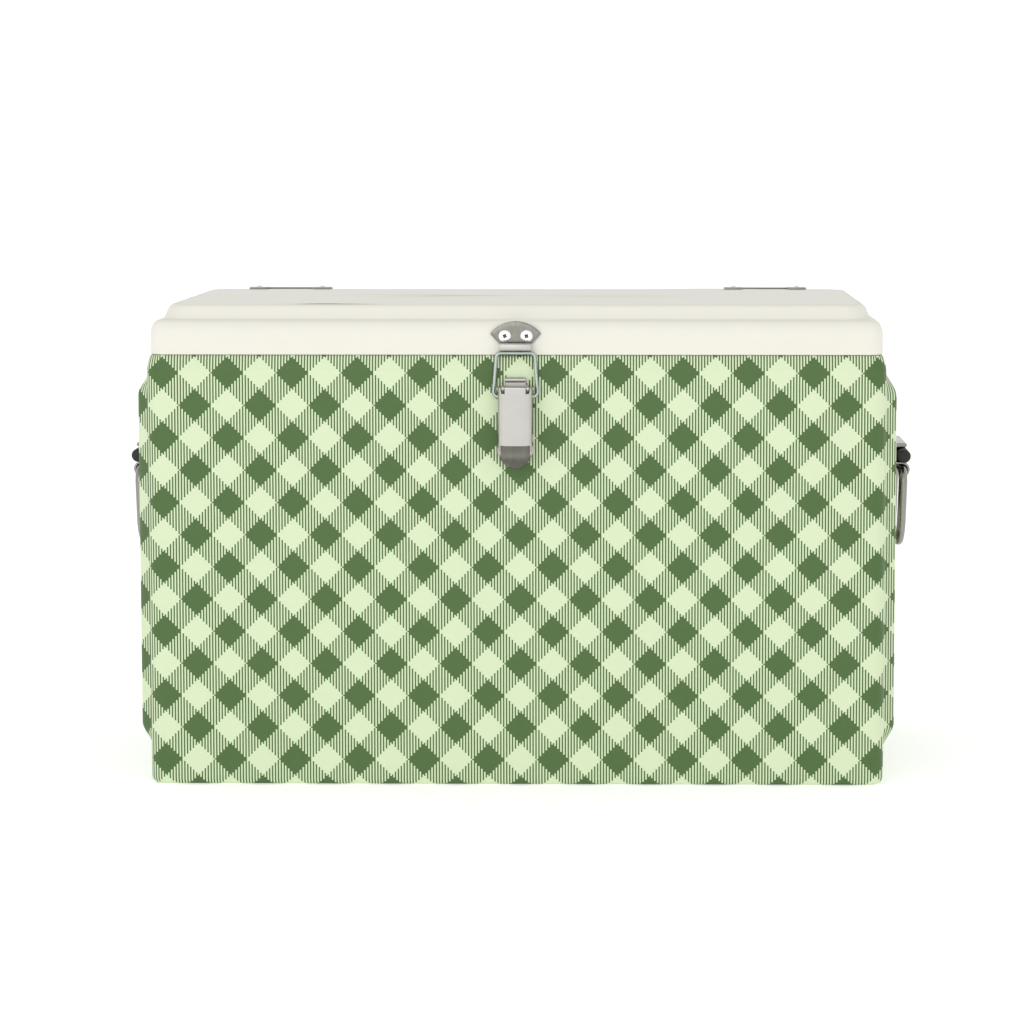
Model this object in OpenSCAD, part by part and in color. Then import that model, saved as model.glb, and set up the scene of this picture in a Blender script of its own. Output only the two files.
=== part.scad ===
// Steel-shelled cooler chest with a stepped lid, a draw latch and two drop handles.
// The origin is the middle of the base. +X is the right-hand end, -Y the front, +Z up.

/* [Body] */
// Width of the body between its flat end walls
chest_w = 582; // [460:2:700]
// Depth of the body from front to back
chest_d = 330; // [270:2:400]
// Height of the body from the floor to the lid seam
chest_h = 341; // [280:1:420]
// Radius of the upright corners
corner_r = 12; // [9:1:18]
// Radius of the edge round the base
bottom_r = 6; // [4:0.5:9]
// Thickness of the painted steel sheet
steel_t = 1; // [0.7:0.1:1.4]
// How far the walls lean in at the seam
shoulder_in = 2.8; // [2:0.1:4]
// Height over which the walls lean in
shoulder_h = 12; // [8:1:18]
// Width of the edge that the shell turns in under the base
flange_w = 12; // [10:1:16]

/* [End panels] */
// How far the raised panel of each end stands out
panel_out = 9.5; // [6:0.5:12]
// Run of the slope round the raised panel
panel_ramp = 20; // [8:1:24]
// Height of the raised panel's lower edge
panel_low = 24; // [15:1:30]
// Distance from the raised panel's upper edge to the seam
panel_top_gap = 14; // [12:1:35]
// Distance from the raised panel to the front and back walls
panel_side_gap = 14; // [13:1:30]

/* [Tub] */
// Distance from the body's outside to the tub's outside, which the foam fills
wall_depth = 25; // [21:1:32]
// Height of the tub's underside above the floor
tub_low = 28; // [20:1:40]
// Thickness of the plastic tub and its rim
tub_t = 2.5; // [1.8:0.1:3.5]
// Radius of the tub's upright corners
tub_r = 26; // [15:1:40]

/* [Lid] */
// Height of the lid's skirt up to the ledge
skirt_h = 26.5; // [22:0.5:34]
// Radius of the skirt's upper edge
skirt_r = 7; // [4:0.5:9]
// Height of the raised middle above the ledge
crown_h = 12; // [8:0.5:16]
// Run of the raised middle's sloped sides
crown_slope = 5; // [3:0.5:8]
// Radius of the raised middle's corners, seen from above
crown_r = 18; // [12:1:26]
// Gap at the seam between lid and body
seam_gap = 0.8; // [0.4:0.1:1.5]
// Depth of the plug that the lid's lining drops into the tub
plug_h = 14; // [8:1:20]
// Gap between that plug and the tub's walls
plug_gap = 5; // [3.5:0.5:8]
// Height of the rubber seal
gasket_t = 4; // [3:0.5:6]
// Width of the rubber seal
gasket_w = 8; // [6:0.5:10]

/* [Hinges] */
// Distance of each hinge's middle from the chest's middle
hinge_x = 206; // [150:1:220]
// Width of a hinge
hinge_w = 71; // [60:1:90]
// Thickness of the hinge leaves
leaf_t = 1.5; // [1:0.1:2]
// Radius of the hinge pin
hinge_pin_r = 1.5; // [1.2:0.1:2]
// Length of the hinge's middle knuckle
knuckle_l = 30; // [20:1:34]
// Height of the body leaf below the pin
leaf_h = 34; // [28:1:44]
// Width of each tab that reaches over the lid
tab_w = 16; // [12:1:20]
// How far the tabs reach over the lid's top
tab_reach = 14; // [12:1:18]

/* [Latch] */
// Width of the lever
lever_w = 27; // [26:0.5:32]
// Length of the lever's plate below its pin
lever_l = 44.5; // [38:0.5:54]
// Sheet thickness of the latch's pressings
latch_t = 1.5; // [1:0.1:1.8]
// Height of the lever's pin below the seam
lever_drop = 25.5; // [24:0.5:34]
// Distance of the lever's pin from the front wall
lever_out = 9; // [8.6:0.1:10]
// Radius of the lever's pin
lever_pin_r = 1.6; // [1.2:0.1:1.8]
// Radius of the draw loop's wire
wire_r = 1.45; // [1.2:0.05:1.8]
// Half the width between the loop's legs at the top
loop_top_x = 15; // [15:0.1:17]
// Half the width between the loop's legs at the bottom
loop_low_x = 17.5; // [17.4:0.1:19]
// Width of the keeper's hook
hook_w = 25; // [20:0.5:25.5]
// Clear width inside the keeper's hook
hook_throat = 4.6; // [4.4:0.1:5.4]
// Height of the hook's front lip
hook_lip = 5.3; // [4.5:0.1:6.5]
// Width of the keeper's plate between its points
keeper_w = 40.3; // [36:0.1:46]
// Height of the keeper's top above the hook
keeper_h = 23.2; // [21:0.1:26]

/* [End handles] */
// Height of the handle's pivot above the floor
pivot_z = 240; // [200:0.5:250]
// Distance of the pivot from the raised panel
pivot_out = 12.2; // [11:0.1:24]
// Radius of the handle's rod
rod_r = 3.6; // [3:0.1:4.4]
// Width of the handle between the middles of its legs
bail_w = 100; // [94:1:130]
// Drop of the handle's grip below its pivot
bail_drop = 59; // [50:1:72]
// Sheet thickness of the handle's bracket
bracket_t = 2; // [1.5:0.1:2.5]
// Width of the bracket's rolled part
bracket_w = 76; // [60:1:80]
// Radius of the rubber stop bar
stop_r = 5.85; // [5:0.05:6.5]
// Radius of the roll over the stop bar
nose_r = 4.4; // [3.6:0.1:5.5]

/* [Drain] */
// Distance of the drain from the chest's middle
drain_x = 200; // [120:1:220]
// Radius of the drain's bore
drain_r = 7; // [5:0.1:8]
// Wall of the drain's tube
drain_wall = 2; // [1.5:0.1:3]
// How far the drain's flange and nut stand out round the tube
drain_flange = 4; // [3:0.5:6]

/* [Hidden] */
$fn = 48;

// Clearances
run_gap = 0.05; // between a turning pin and its bore
fit_gap = 0.3; // between pieces that only lie beside each other
foam_gap = 0.2; // round the foam
bolt_gap = 0.1; // round a screw or rivet in its hole
snug_gap = 0.15; // between a part and the sheet that it stands behind
near_gap = 0.25; // between pieces that nearly touch as they move
end_gap = 0.8; // from the loop's ends to the lever's cheeks
over = 1; // how far a cut runs past the face that it opens

// Colours
cream = "#f1efe3";
green = "#9ab187";
steel = "#c9c6bf";
chrome = "#dcdcdc";
black = "#232323";
white = "#f4f4f0";
foam = "#f2e2b0";

// Body
shoulder_r = (pow(shoulder_h, 2) + pow(shoulder_in, 2)) / (2 * shoulder_in);
panel_high = chest_h - panel_top_gap;
face_x = chest_w / 2 + panel_out;
front_y = -chest_d / 2;
back_y = chest_d / 2;

// Tub
tub_w = chest_w - 2 * wall_depth;
tub_d = chest_d - 2 * wall_depth;
tub_floor = tub_low + tub_t;
rim_top = chest_h + tub_t;

// Lid
lid_w = chest_w - 2 * shoulder_in;
lid_d = chest_d - 2 * shoulder_in;
lid_low = chest_h + seam_gap;
ledge_z = lid_low + skirt_h;
lid_top = ledge_z + crown_h;
crown_in = skirt_r + bolt_gap;
lining_low = rim_top + foam_gap + gasket_t;
plug_w = tub_w - 2 * tub_t - 2 * plug_gap;
plug_d = tub_d - 2 * tub_t - 2 * plug_gap;
plug_r = tub_r - tub_t - plug_gap;
rim_w = lid_w - 2 * steel_t - 2 * fit_gap;
rim_d = lid_d - 2 * steel_t - 2 * fit_gap;
rim_r = corner_r - steel_t - fit_gap;

// Hinges: the pin stands behind the body's back wall, level with the seam
knuckle_r = hinge_pin_r + run_gap + leaf_t + snug_gap;
leaf_back = back_y + foam_gap;
hinge_y = leaf_back + knuckle_r;
hinge_z = chest_h;
leaf_screw_in = 9; // from a leaf's end to its outer screws
leaf_screw_x = hinge_w / 2 - leaf_screw_in;
leaf_screw_drop = 24;
skirt_screw_up = 14; // above the lid's lower edge
skirt_screw_z = lid_low + skirt_screw_up;
strap_rise = 5; // height over which the leaf steps in to the skirt
wrap_first = 15; // turn of the leaf's two flats round the skirt's edge
wrap_second = 50;
tab_x = (hinge_w - tab_w) / 2;
tab_y = lid_d / 2 - crown_in - crown_slope - tab_reach / 2;
screw_r = 1.8;
screw_l = 11;
screw_head_r = 3.6;
screw_head_h = 1.6;

// Latch
lever_y = front_y - lever_out;
lever_z = chest_h - lever_drop;
loop_back = 4; // the loop's pivot lies this much nearer to the body than the lever's pin
loop_drop = 6; // and this much lower
loop_y = lever_y + loop_back;
loop_z = lever_z - loop_drop;
plate_off = 3; // from the lever's pin to the inside of its plate
plate_rise = 1.2; // of the lever's plate above its pin
lever_front = lever_y - plate_off - latch_t;
cheek_wall = 1.3; // of the lever's cheeks behind the loop's wire
cheek_foot = 3; // and below it
cheek_back = loop_y + wire_r + cheek_wall;
cheek_h = loop_drop + wire_r + cheek_foot;
low_cheek = 4; // depth of the lever's cheeks below the loop's pivot
tab_tilt = 20;
thumb_in = 0.9; // of the thumb tab from the lever's sides
thumb_r = lever_w / 2 - thumb_in;
ear_wall = 0.95;
ear_r = lever_pin_r + run_gap + ear_wall;
ear_x = 9; // inside face of the base's ears
notch_gap = 0.4;
notch_h = 5.2;
base_w = 2 * (ear_x + latch_t);
base_l = 28; // below the lever's pin
base_low = lever_z - base_l;
base_nose_w = 16;
base_nose_h = 6.5; // above the lever's pin
base_nose_z = lever_z + base_nose_h;
base_nose_r = 2;
rivet_r = 1.6;
rivet_l = 5;
rivet_head_r = 3.4;
rivet_head_h = 1.1;
rivet_drops = [13, 22]; // of the latch's rivets below the lever's pin
hook_up = 2.8; // above the lid's lower edge
hook_low = lid_low + hook_up;
keeper_y = -lid_d / 2;
keeper_top = hook_low + keeper_h;
keeper_rise = 9.7; // from the keeper's side tips to its top
keeper_tip = keeper_top - keeper_rise;
keeper_arc = (pow(keeper_w / 2, 2) + pow(keeper_rise, 2)) / (2 * keeper_rise);
keeper_screw_x = 8.5;
keeper_screw_drop = 11.5;
keeper_screw_z = keeper_top - keeper_screw_drop;
keeper_head_r = 4.9;
bar_y = keeper_y - latch_t - hook_throat / 2;
bar_z = hook_low - wire_r - near_gap;

// End handles: out is measured from the raised panel's face
stop_step = 0.6; // of the stop bar further out than the pivot
curl_gap = 0.75; // spare wall in the pivot's curl
stop_out = pivot_out + stop_step;
knuckle_wall = rod_r + run_gap + bracket_t + curl_gap;
stop_z = pivot_z + knuckle_wall + stop_r + near_gap;
nose_z = stop_z + stop_r + nose_r + near_gap;
nose_step = 1; // of the nose further in than the stop bar
nose_out = stop_out - nose_step;
web_out = stop_out - stop_r - bracket_t - snug_gap;
plate_edge = 4; // of the back plate below the curl, and inside the handle's width
plate_w = bail_w - plate_edge;
plate_low = pivot_z - knuckle_wall - plate_edge;
plate_high = nose_z + nose_r;
stop_end = 4; // of the stop bar past the handle's width at each end
stop_l = bail_w + 2 * stop_end;
peg_r = 2.5;
peg_l = 3.2;
peg_y = 24;
handle_rivet_edge = 5;
handle_rivet_y = plate_w / 2 - handle_rivet_edge;
handle_rivet_in = 7;
bail_bend = 10; // radius of the handle's bends

// Drain
tube_r = drain_r + drain_wall;
ring_r = tube_r + drain_flange;
drain_up = 0.5; // of the nut above the tub's floor
drain_z = tub_floor + ring_r + drain_up;
washer_t = 1.2;
ring_t = 2;
nut_t = 4;
bung_l = 14;
bung_lip = 3.5;
bung_head_r = drain_r + bung_lip;
bung_head_h = 3;
drain_in = tub_d / 2 - tub_t - nut_t;

// Shared shapes

module rounded_rect(w, d, r) {
    square([w - 2 * r, d], center = true);
    square([w, d - 2 * r], center = true);
    for (sx = [-1, 1])
        for (sy = [-1, 1])
            translate([sx * (w / 2 - r), sy * (d / 2 - r)]) circle(r);
}

module slab(w, d, r, low, high) {
    translate([0, 0, low]) linear_extrude(high - low) rounded_rect(w, d, r);
}

// A straight round bar from a to b
module bar(a, b, r) {
    way = b - a;
    translate(a) rotate([0, acos(way.z / norm(way)), atan2(way.y, way.x)]) cylinder(h = norm(way), r = r);
}

// A rectangular ring of round bar in x and y, with bends of radius b
module ring(w, d, r, b) {
    for (s = [-1, 1]) {
        translate([s * w / 2, b - d / 2, 0]) rotate([-90, 0, 0]) cylinder(h = d - 2 * b, r = r);
        translate([b - w / 2, s * d / 2, 0]) rotate([0, 90, 0]) cylinder(h = w - 2 * b, r = r);
        for (t = [-1, 1])
            translate([s * (w / 2 - b), t * (d / 2 - b), 0])
                mirror([s < 0 ? 1 : 0, 0, 0])
                    mirror([0, t < 0 ? 1 : 0, 0])
                        rotate_extrude(angle = 90) translate([b, 0]) circle(r);
    }
}

// Turns a drawing in x and z to stand at y, and thickens it towards the front
module upright(y, t) {
    translate([0, y, 0]) rotate([90, 0, 0]) linear_extrude(t) children();
}

// Turns a drawing in y and z to stand across the chest, centred on x
module crosswise(x, w) {
    translate([x, 0, 0]) rotate([90, 0, 90]) linear_extrude(w, center = true) children();
}

// Bent sheet that follows a list of middle points in a drawing
module strip(points, t) {
    for (i = [0 : len(points) - 2]) {
        way = points[i + 1] - points[i];
        translate(points[i]) rotate(atan2(way.y, way.x)) translate([0, -t / 2]) square([norm(way), t]);
    }
    for (p = points)
        translate(p) circle(t / 2);
}

// A pan head on a straight shank, with its seat at the origin and its head up
module fastener(shank_r, shank_l, head_r, head_h) {
    dome = (pow(head_r, 2) + pow(head_h, 2)) / (2 * head_h);
    translate([0, 0, -shank_l]) cylinder(h = shank_l, r = shank_r);
    intersection() {
        translate([0, 0, head_h - dome]) sphere(dome);
        cylinder(h = head_h, r = head_r);
    }
}

module hole(shank_r, shank_l) {
    translate([0, 0, -shank_l - over]) cylinder(h = shank_l + 2 * over, r = shank_r);
}

// Places of the fasteners: each puts its children with +Z out of the surface

module at_latch_rivets() {
    for (drop = rivet_drops)
        translate([0, front_y - latch_t, lever_z - drop]) rotate([90, 0, 0]) children();
}

module at_keeper_screws() {
    for (s = [-1, 1])
        translate([s * keeper_screw_x, keeper_y - latch_t, keeper_screw_z]) rotate([90, 0, 0]) children();
}

module at_handle_rivets(side) {
    for (s = [-1, 1])
        for (z = [plate_low + handle_rivet_in, plate_high - handle_rivet_in])
            translate([side * (face_x + bracket_t), s * handle_rivet_y, z])
                rotate([0, side * 90, 0]) children();
}

module at_body_leaf_screws() {
    for (side = [-1, 1])
        for (dx = [-leaf_screw_x, 0, leaf_screw_x])
            translate([side * hinge_x + dx, leaf_back + leaf_t, hinge_z - leaf_screw_drop])
                rotate([-90, 0, 0]) children();
}

module at_lid_leaf_screws() {
    for (side = [-1, 1])
        for (s = [-1, 1]) {
            translate([side * hinge_x + s * leaf_screw_x, lid_d / 2 + foam_gap + leaf_t, skirt_screw_z])
                rotate([-90, 0, 0]) children();
            translate([side * hinge_x + s * tab_x, tab_y, lid_top + foam_gap + leaf_t]) children();
        }
}

module at_drain() {
    translate([-drain_x, 0, drain_z]) rotate([-90, 0, 0]) children();
}

// Body

// Outline of the body seen square on, inset all round
module wall_outline(w, inset) {
    half = w / 2 - inset;
    low_r = bottom_r - inset;
    arc_z = chest_h - shoulder_h;
    arc_x = w / 2 - shoulder_r;
    intersection() {
        union() {
            translate([-half, bottom_r]) square([2 * half, arc_z - bottom_r]);
            translate([low_r - half, inset]) square([2 * (half - low_r), arc_z]);
            translate([-arc_x, inset]) square([2 * arc_x, chest_h]);
            for (s = [-1, 1]) {
                translate([s * (half - low_r), bottom_r]) circle(low_r);
                translate([s * arc_x, arc_z]) circle(shoulder_r - inset);
            }
        }
        translate([-half, inset]) square([2 * half, chest_h - 2 * inset]);
    }
}

module raised_panel(side, inset) {
    root = chest_w / 2 - steel_t - 2;
    wall = chest_w / 2;
    out = face_x - inset;
    low = panel_low + inset;
    high = panel_high - inset;
    half = chest_d / 2 - panel_side_gap - inset;
    mirror([side < 0 ? 1 : 0, 0, 0]) intersection() {
        rotate([90, 0, 0]) linear_extrude(chest_d, center = true)
            polygon([[root, low], [wall, low], [out, low + panel_ramp],
                     [out, high - panel_ramp], [wall, high], [root, high]]);
        linear_extrude(chest_h)
            polygon([[root, -half], [wall, -half], [out, panel_ramp - half],
                     [out, half - panel_ramp], [wall, half], [root, half]]);
    }
}

module body_form(inset) {
    intersection() {
        slab(chest_w - 2 * inset, chest_d - 2 * inset, corner_r - inset, inset, chest_h - inset);
        rotate([90, 0, 0]) linear_extrude(chest_d, center = true) wall_outline(chest_w, inset);
        crosswise(0, chest_w) wall_outline(chest_d, inset);
    }
    for (side = [-1, 1])
        raised_panel(side, inset);
}

module body_shell() {
    color(green) difference() {
        body_form(0);
        body_form(steel_t);
        slab(tub_w + 2 * fit_gap, tub_d + 2 * fit_gap, tub_r + fit_gap,
             chest_h - 2 * steel_t, chest_h + over);
        slab(chest_w - 2 * flange_w, chest_d - 2 * flange_w, corner_r, -over, 2 * steel_t);
        at_latch_rivets() hole(rivet_r + bolt_gap, rivet_l);
        for (side = [-1, 1])
            at_handle_rivets(side) hole(rivet_r + bolt_gap, rivet_l);
        at_body_leaf_screws() hole(screw_r + bolt_gap, screw_l);
        at_drain() translate([0, 0, tub_d / 2]) cylinder(h = wall_depth + over, r = tube_r + bolt_gap);
    }
}

module bottom_pan() {
    lap = 1.5;
    in_w = chest_w - 2 * flange_w - 2 * fit_gap;
    in_d = chest_d - 2 * flange_w - 2 * fit_gap;
    out_w = chest_w - 2 * bottom_r - 2 * fit_gap;
    out_d = chest_d - 2 * bottom_r - 2 * fit_gap;
    color(green) {
        slab(in_w, in_d, corner_r - fit_gap, 0, steel_t);
        difference() {
            slab(out_w, out_d, corner_r, steel_t, 2 * steel_t);
            slab(in_w - 2 * lap, in_d - 2 * lap, corner_r - lap, 0, 2 * steel_t + over);
        }
    }
}

module inner_liner() {
    color(white) difference() {
        union() {
            slab(tub_w, tub_d, tub_r, tub_low, rim_top);
            slab(rim_w, rim_d, rim_r, chest_h, rim_top);
        }
        slab(tub_w - 2 * tub_t, tub_d - 2 * tub_t, tub_r - tub_t, tub_floor, rim_top + over);
        at_drain() translate([0, 0, drain_in]) cylinder(h = 2 * wall_depth, r = tube_r + bolt_gap);
    }
}

module body_foam() {
    skin = steel_t + foam_gap;
    color(foam) difference() {
        body_form(skin);
        slab(tub_w + 2 * foam_gap, tub_d + 2 * foam_gap, tub_r + foam_gap, tub_low - foam_gap, chest_h);
        slab(chest_w, chest_d, corner_r, 0, 2 * steel_t + foam_gap);
        at_latch_rivets() hole(rivet_r + fit_gap, rivet_l);
        for (side = [-1, 1])
            at_handle_rivets(side) hole(rivet_r + fit_gap, rivet_l);
        at_body_leaf_screws() hole(screw_r + fit_gap, screw_l);
        at_drain() cylinder(h = chest_d, r = tube_r + fit_gap);
    }
}

// Lid

// Outline of the lid's skirt seen square on, inset all round and open below
module skirt_outline(w, inset) {
    half = w / 2 - inset;
    r = skirt_r - inset;
    low = inset > 0 ? lid_low - over : lid_low;
    translate([-half, low]) square([2 * half, ledge_z - skirt_r - low]);
    translate([r - half, low]) square([2 * (half - r), ledge_z - inset - low]);
    for (s = [-1, 1])
        translate([s * (half - r), ledge_z - skirt_r]) circle(r);
}

// Outline of the lid's raised middle seen square on, inset all round
module crown_outline(w, inset) {
    base = w / 2 - crown_in - inset;
    top = base - crown_slope;
    low = ledge_z - skirt_r + inset;
    polygon([[-base, low], [-base, ledge_z - inset], [-top, lid_top - inset],
             [top, lid_top - inset], [base, ledge_z - inset], [base, low]]);
}

module lid_form(inset) {
    crown_w = lid_w - 2 * crown_in - 2 * inset;
    crown_d = lid_d - 2 * crown_in - 2 * inset;
    intersection() {
        slab(lid_w - 2 * inset, lid_d - 2 * inset, corner_r - inset, chest_h - 2 * over, lid_top);
        rotate([90, 0, 0]) linear_extrude(lid_d, center = true) skirt_outline(lid_w, inset);
        crosswise(0, lid_w) skirt_outline(lid_d, inset);
    }
    intersection() {
        slab(crown_w, crown_d, crown_r - inset, lid_low, lid_top);
        rotate([90, 0, 0]) linear_extrude(lid_d, center = true) crown_outline(lid_w, inset);
        crosswise(0, lid_w) crown_outline(lid_d, inset);
    }
}

module lid_shell() {
    color(cream) difference() {
        lid_form(0);
        lid_form(steel_t);
        at_keeper_screws() hole(screw_r + bolt_gap, screw_l);
        at_lid_leaf_screws() hole(screw_r + bolt_gap, screw_l);
    }
}

module lid_liner() {
    color(white) difference() {
        union() {
            slab(rim_w, rim_d, rim_r, lining_low, lining_low + tub_t);
            slab(plug_w, plug_d, plug_r, lining_low - plug_h, lining_low + tub_t);
        }
        slab(plug_w - 2 * tub_t, plug_d - 2 * tub_t, plug_r - tub_t, lining_low - plug_h + tub_t, lid_top);
        at_lid_leaf_screws() hole(screw_r + bolt_gap, screw_l);
    }
}

module lid_foam() {
    skin = steel_t + foam_gap;
    filling_in = tub_t + foam_gap;
    color(foam) difference() {
        union() {
            intersection() {
                lid_form(skin);
                slab(lid_w, lid_d, corner_r, lining_low + tub_t + foam_gap, lid_top);
            }
            slab(plug_w - 2 * filling_in, plug_d - 2 * filling_in, plug_r - filling_in,
                 lining_low - plug_h + filling_in, lining_low + 2 * tub_t);
        }
        at_keeper_screws() hole(screw_r + fit_gap, screw_l);
        at_lid_leaf_screws() hole(screw_r + fit_gap, screw_l);
    }
}

module lid_gasket() {
    in_gap = 4; // from the tub's wall to the seal
    in_w = tub_w + 2 * in_gap;
    in_d = tub_d + 2 * in_gap;
    color(black) difference() {
        slab(in_w + 2 * gasket_w, in_d + 2 * gasket_w, tub_r + gasket_w, rim_top + foam_gap, lining_low);
        slab(in_w, in_d, tub_r, rim_top, lining_low + over);
    }
}

// Hinges

module knuckle(x, l) {
    crosswise(x, l) translate([hinge_y, hinge_z]) circle(knuckle_r);
}

module hinge_bore(side) {
    crosswise(side * hinge_x, 2 * hinge_w) translate([hinge_y, hinge_z]) circle(hinge_pin_r + run_gap);
}

module hinge_body_leaf(side) {
    x = side * hinge_x;
    end_l = (hinge_w - knuckle_l) / 2 - fit_gap;
    end_x = (hinge_w - end_l) / 2;
    low = hinge_z - leaf_h;
    clear_z = hinge_z - knuckle_r - fit_gap - leaf_t;
    color(steel) difference() {
        union() {
            translate([x - hinge_w / 2, leaf_back, low]) cube([hinge_w, leaf_t, clear_z - low]);
            for (s = [-1, 1]) {
                knuckle(x + s * end_x, end_l);
                translate([x + s * end_x - end_l / 2, leaf_back, low]) cube([end_l, leaf_t, hinge_z - low]);
            }
        }
        hinge_bore(side);
        at_body_leaf_screws() hole(screw_r + bolt_gap, leaf_t);
    }
}

module hinge_lid_leaf(side) {
    x = side * hinge_x;
    skirt_y = lid_d / 2 + foam_gap + leaf_t / 2;
    knuckle_y = leaf_back + leaf_t / 2;
    wide_z = hinge_z + knuckle_r + fit_gap + leaf_t;
    crown_y = lid_d / 2 - crown_in - crown_slope;
    top_z = lid_top + foam_gap + leaf_t / 2;
    crest = [crown_y + leaf_t, top_z];
    // The leaf wraps the skirt's rounded edge on two flats that just clear it
    middle = [lid_d / 2 - skirt_r, ledge_z - skirt_r];
    wrap = skirt_r + foam_gap + leaf_t / 2;
    first = middle + wrap * [1, tan(wrap_first)];
    second = middle + wrap / cos(wrap_second - 2 * wrap_first) * [cos(wrap_second), sin(wrap_second)];
    color(steel) difference() {
        union() {
            knuckle(x, knuckle_l);
            crosswise(x, knuckle_l) strip([[knuckle_y, hinge_z], [knuckle_y, wide_z]], leaf_t);
            crosswise(x, hinge_w)
                strip([[knuckle_y, wide_z], [skirt_y, wide_z + strap_rise], first, second, crest], leaf_t);
            for (s = [-1, 1])
                crosswise(x + s * tab_x, tab_w) strip([crest, [crown_y - tab_reach, top_z]], leaf_t);
        }
        hinge_bore(side);
        at_lid_leaf_screws() hole(screw_r + bolt_gap, leaf_t);
    }
}

module hinge_pin(side) {
    end_t = 0.8;
    color(steel) {
        crosswise(side * hinge_x, hinge_w + 2 * run_gap) translate([hinge_y, hinge_z]) circle(hinge_pin_r);
        for (s = [-1, 1])
            crosswise(side * hinge_x + s * (hinge_w / 2 + run_gap + end_t / 2), end_t)
                translate([hinge_y, hinge_z]) circle(knuckle_r - leaf_t / 2);
    }
}

module hinge_body_screws() {
    color(steel) at_body_leaf_screws() fastener(screw_r, screw_l, screw_head_r, screw_head_h);
}

module hinge_lid_screws() {
    color(steel) at_lid_leaf_screws() fastener(screw_r, screw_l, screw_head_r, screw_head_h);
}

// Latch

module latch_base() {
    nose_y = front_y - base_nose_r;
    color(steel) difference() {
        union() {
            upright(front_y, latch_t) {
                translate([-base_w / 2, base_low]) square([base_w, lever_z + ear_r - base_low]);
                translate([-base_nose_w / 2, lever_z]) square([base_nose_w, base_nose_z - lever_z]);
            }
            crosswise(0, base_nose_w) intersection() {
                translate([nose_y, base_nose_z]) circle(base_nose_r);
                translate([nose_y - base_nose_r, base_nose_z - base_nose_r]) square(2 * base_nose_r);
            }
            for (s = [-1, 1])
                crosswise(s * (ear_x + latch_t / 2), latch_t) {
                    translate([lever_y, lever_z]) circle(ear_r);
                    translate([lever_y, lever_z - ear_r]) square([lever_out - latch_t / 2, 2 * ear_r]);
                }
        }
        crosswise(0, lever_w) translate([lever_y, lever_z]) circle(lever_pin_r + run_gap);
        at_latch_rivets() hole(rivet_r + bolt_gap, latch_t);
    }
}

module latch_base_rivets() {
    color(steel) at_latch_rivets() fastener(rivet_r, rivet_l, rivet_head_r, rivet_head_h);
}

module latch_pin() {
    head_t = 0.8;
    head_r = lever_pin_r + 0.7;
    head_gap = 0.2;
    color(steel) {
        crosswise(0, lever_w + 2 * head_gap) translate([lever_y, lever_z]) circle(lever_pin_r);
        for (s = [-1, 1])
            crosswise(s * (lever_w / 2 + head_gap + head_t / 2), head_t)
                translate([lever_y, lever_z]) circle(head_r);
    }
}

module latch_lever() {
    low = lever_z - lever_l;
    high = lever_z + plate_rise;
    cheek_x = (lever_w - latch_t) / 2;
    color(chrome) difference() {
        union() {
            upright(lever_front + latch_t, latch_t)
                translate([-lever_w / 2, low]) square([lever_w, high - low]);
            translate([0, lever_front, low]) rotate([-tab_tilt, 0, 0]) translate([0, latch_t, 0])
                rotate([90, 0, 0]) linear_extrude(latch_t) intersection() {
                    circle(thumb_r);
                    translate([-thumb_r, -thumb_r]) square([2 * thumb_r, thumb_r + latch_t / 4]);
                }
            for (s = [-1, 1])
                crosswise(s * cheek_x, latch_t) {
                    translate([lever_front, lever_z - cheek_h])
                        square([cheek_back - lever_front, cheek_h + plate_rise]);
                    translate([lever_front, low]) square([latch_t + low_cheek, lever_l]);
                }
        }
        for (s = [-1, 1])
            translate([s * (ear_x + latch_t / 2), lever_front, high])
                cube([latch_t + 2 * notch_gap, 3 * latch_t, 2 * notch_h], center = true);
        crosswise(0, 2 * lever_w) translate([lever_y, lever_z]) circle(lever_pin_r + run_gap);
        crosswise(0, 2 * lever_w) translate([loop_y, loop_z]) circle(wire_r + run_gap);
    }
}

module latch_wire() {
    end_x = lever_w / 2 - latch_t - end_gap;
    ball_r = wire_r + run_gap;
    color(chrome) {
        bar([-loop_top_x, bar_y, bar_z], [loop_top_x, bar_y, bar_z], wire_r);
        for (s = [-1, 1]) {
            top = [s * loop_top_x, bar_y, bar_z];
            low = [s * loop_low_x, loop_y, loop_z];
            bar(low, top, wire_r);
            bar(low, [s * end_x, loop_y, loop_z], wire_r);
            translate(top) sphere(ball_r);
            translate(low) sphere(ball_r);
        }
    }
}

module keeper() {
    shelf = latch_t + hook_throat + latch_t;
    neck_in = 0.6; // of the plate's lower corners inside the hook's width
    blunt = 0.4; // cut off each side tip
    low_x = hook_w / 2 - neck_in;
    blunt_x = keeper_w / 2 - blunt;
    neck_z = hook_low + hook_lip;
    color(steel) difference() {
        union() {
            upright(keeper_y, latch_t) {
                intersection() {
                    translate([0, keeper_top - keeper_arc]) circle(keeper_arc);
                    polygon([[-blunt_x, keeper_tip], [-low_x, neck_z], [low_x, neck_z],
                             [blunt_x, keeper_tip], [blunt_x, keeper_top], [-blunt_x, keeper_top]]);
                }
                translate([-hook_w / 2, hook_low]) square([hook_w, hook_lip + latch_t / 2]);
            }
            upright(keeper_y, shelf) translate([-hook_w / 2, hook_low]) square([hook_w, latch_t]);
            upright(keeper_y - latch_t - hook_throat, latch_t)
                translate([-hook_w / 2, hook_low]) square([hook_w, hook_lip]);
        }
        at_keeper_screws() hole(screw_r + bolt_gap, latch_t);
    }
}

module keeper_screws() {
    color(white) at_keeper_screws() fastener(screw_r, screw_l, keeper_head_r, screw_head_h);
}

// End handles

// Puts a drawing in out and z onto one end, as a bar along y
module end_bar(side, w) {
    mirror([side < 0 ? 1 : 0, 0, 0]) translate([face_x, 0, 0]) rotate([90, 0, 0])
        linear_extrude(w, center = true) children();
}

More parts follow.
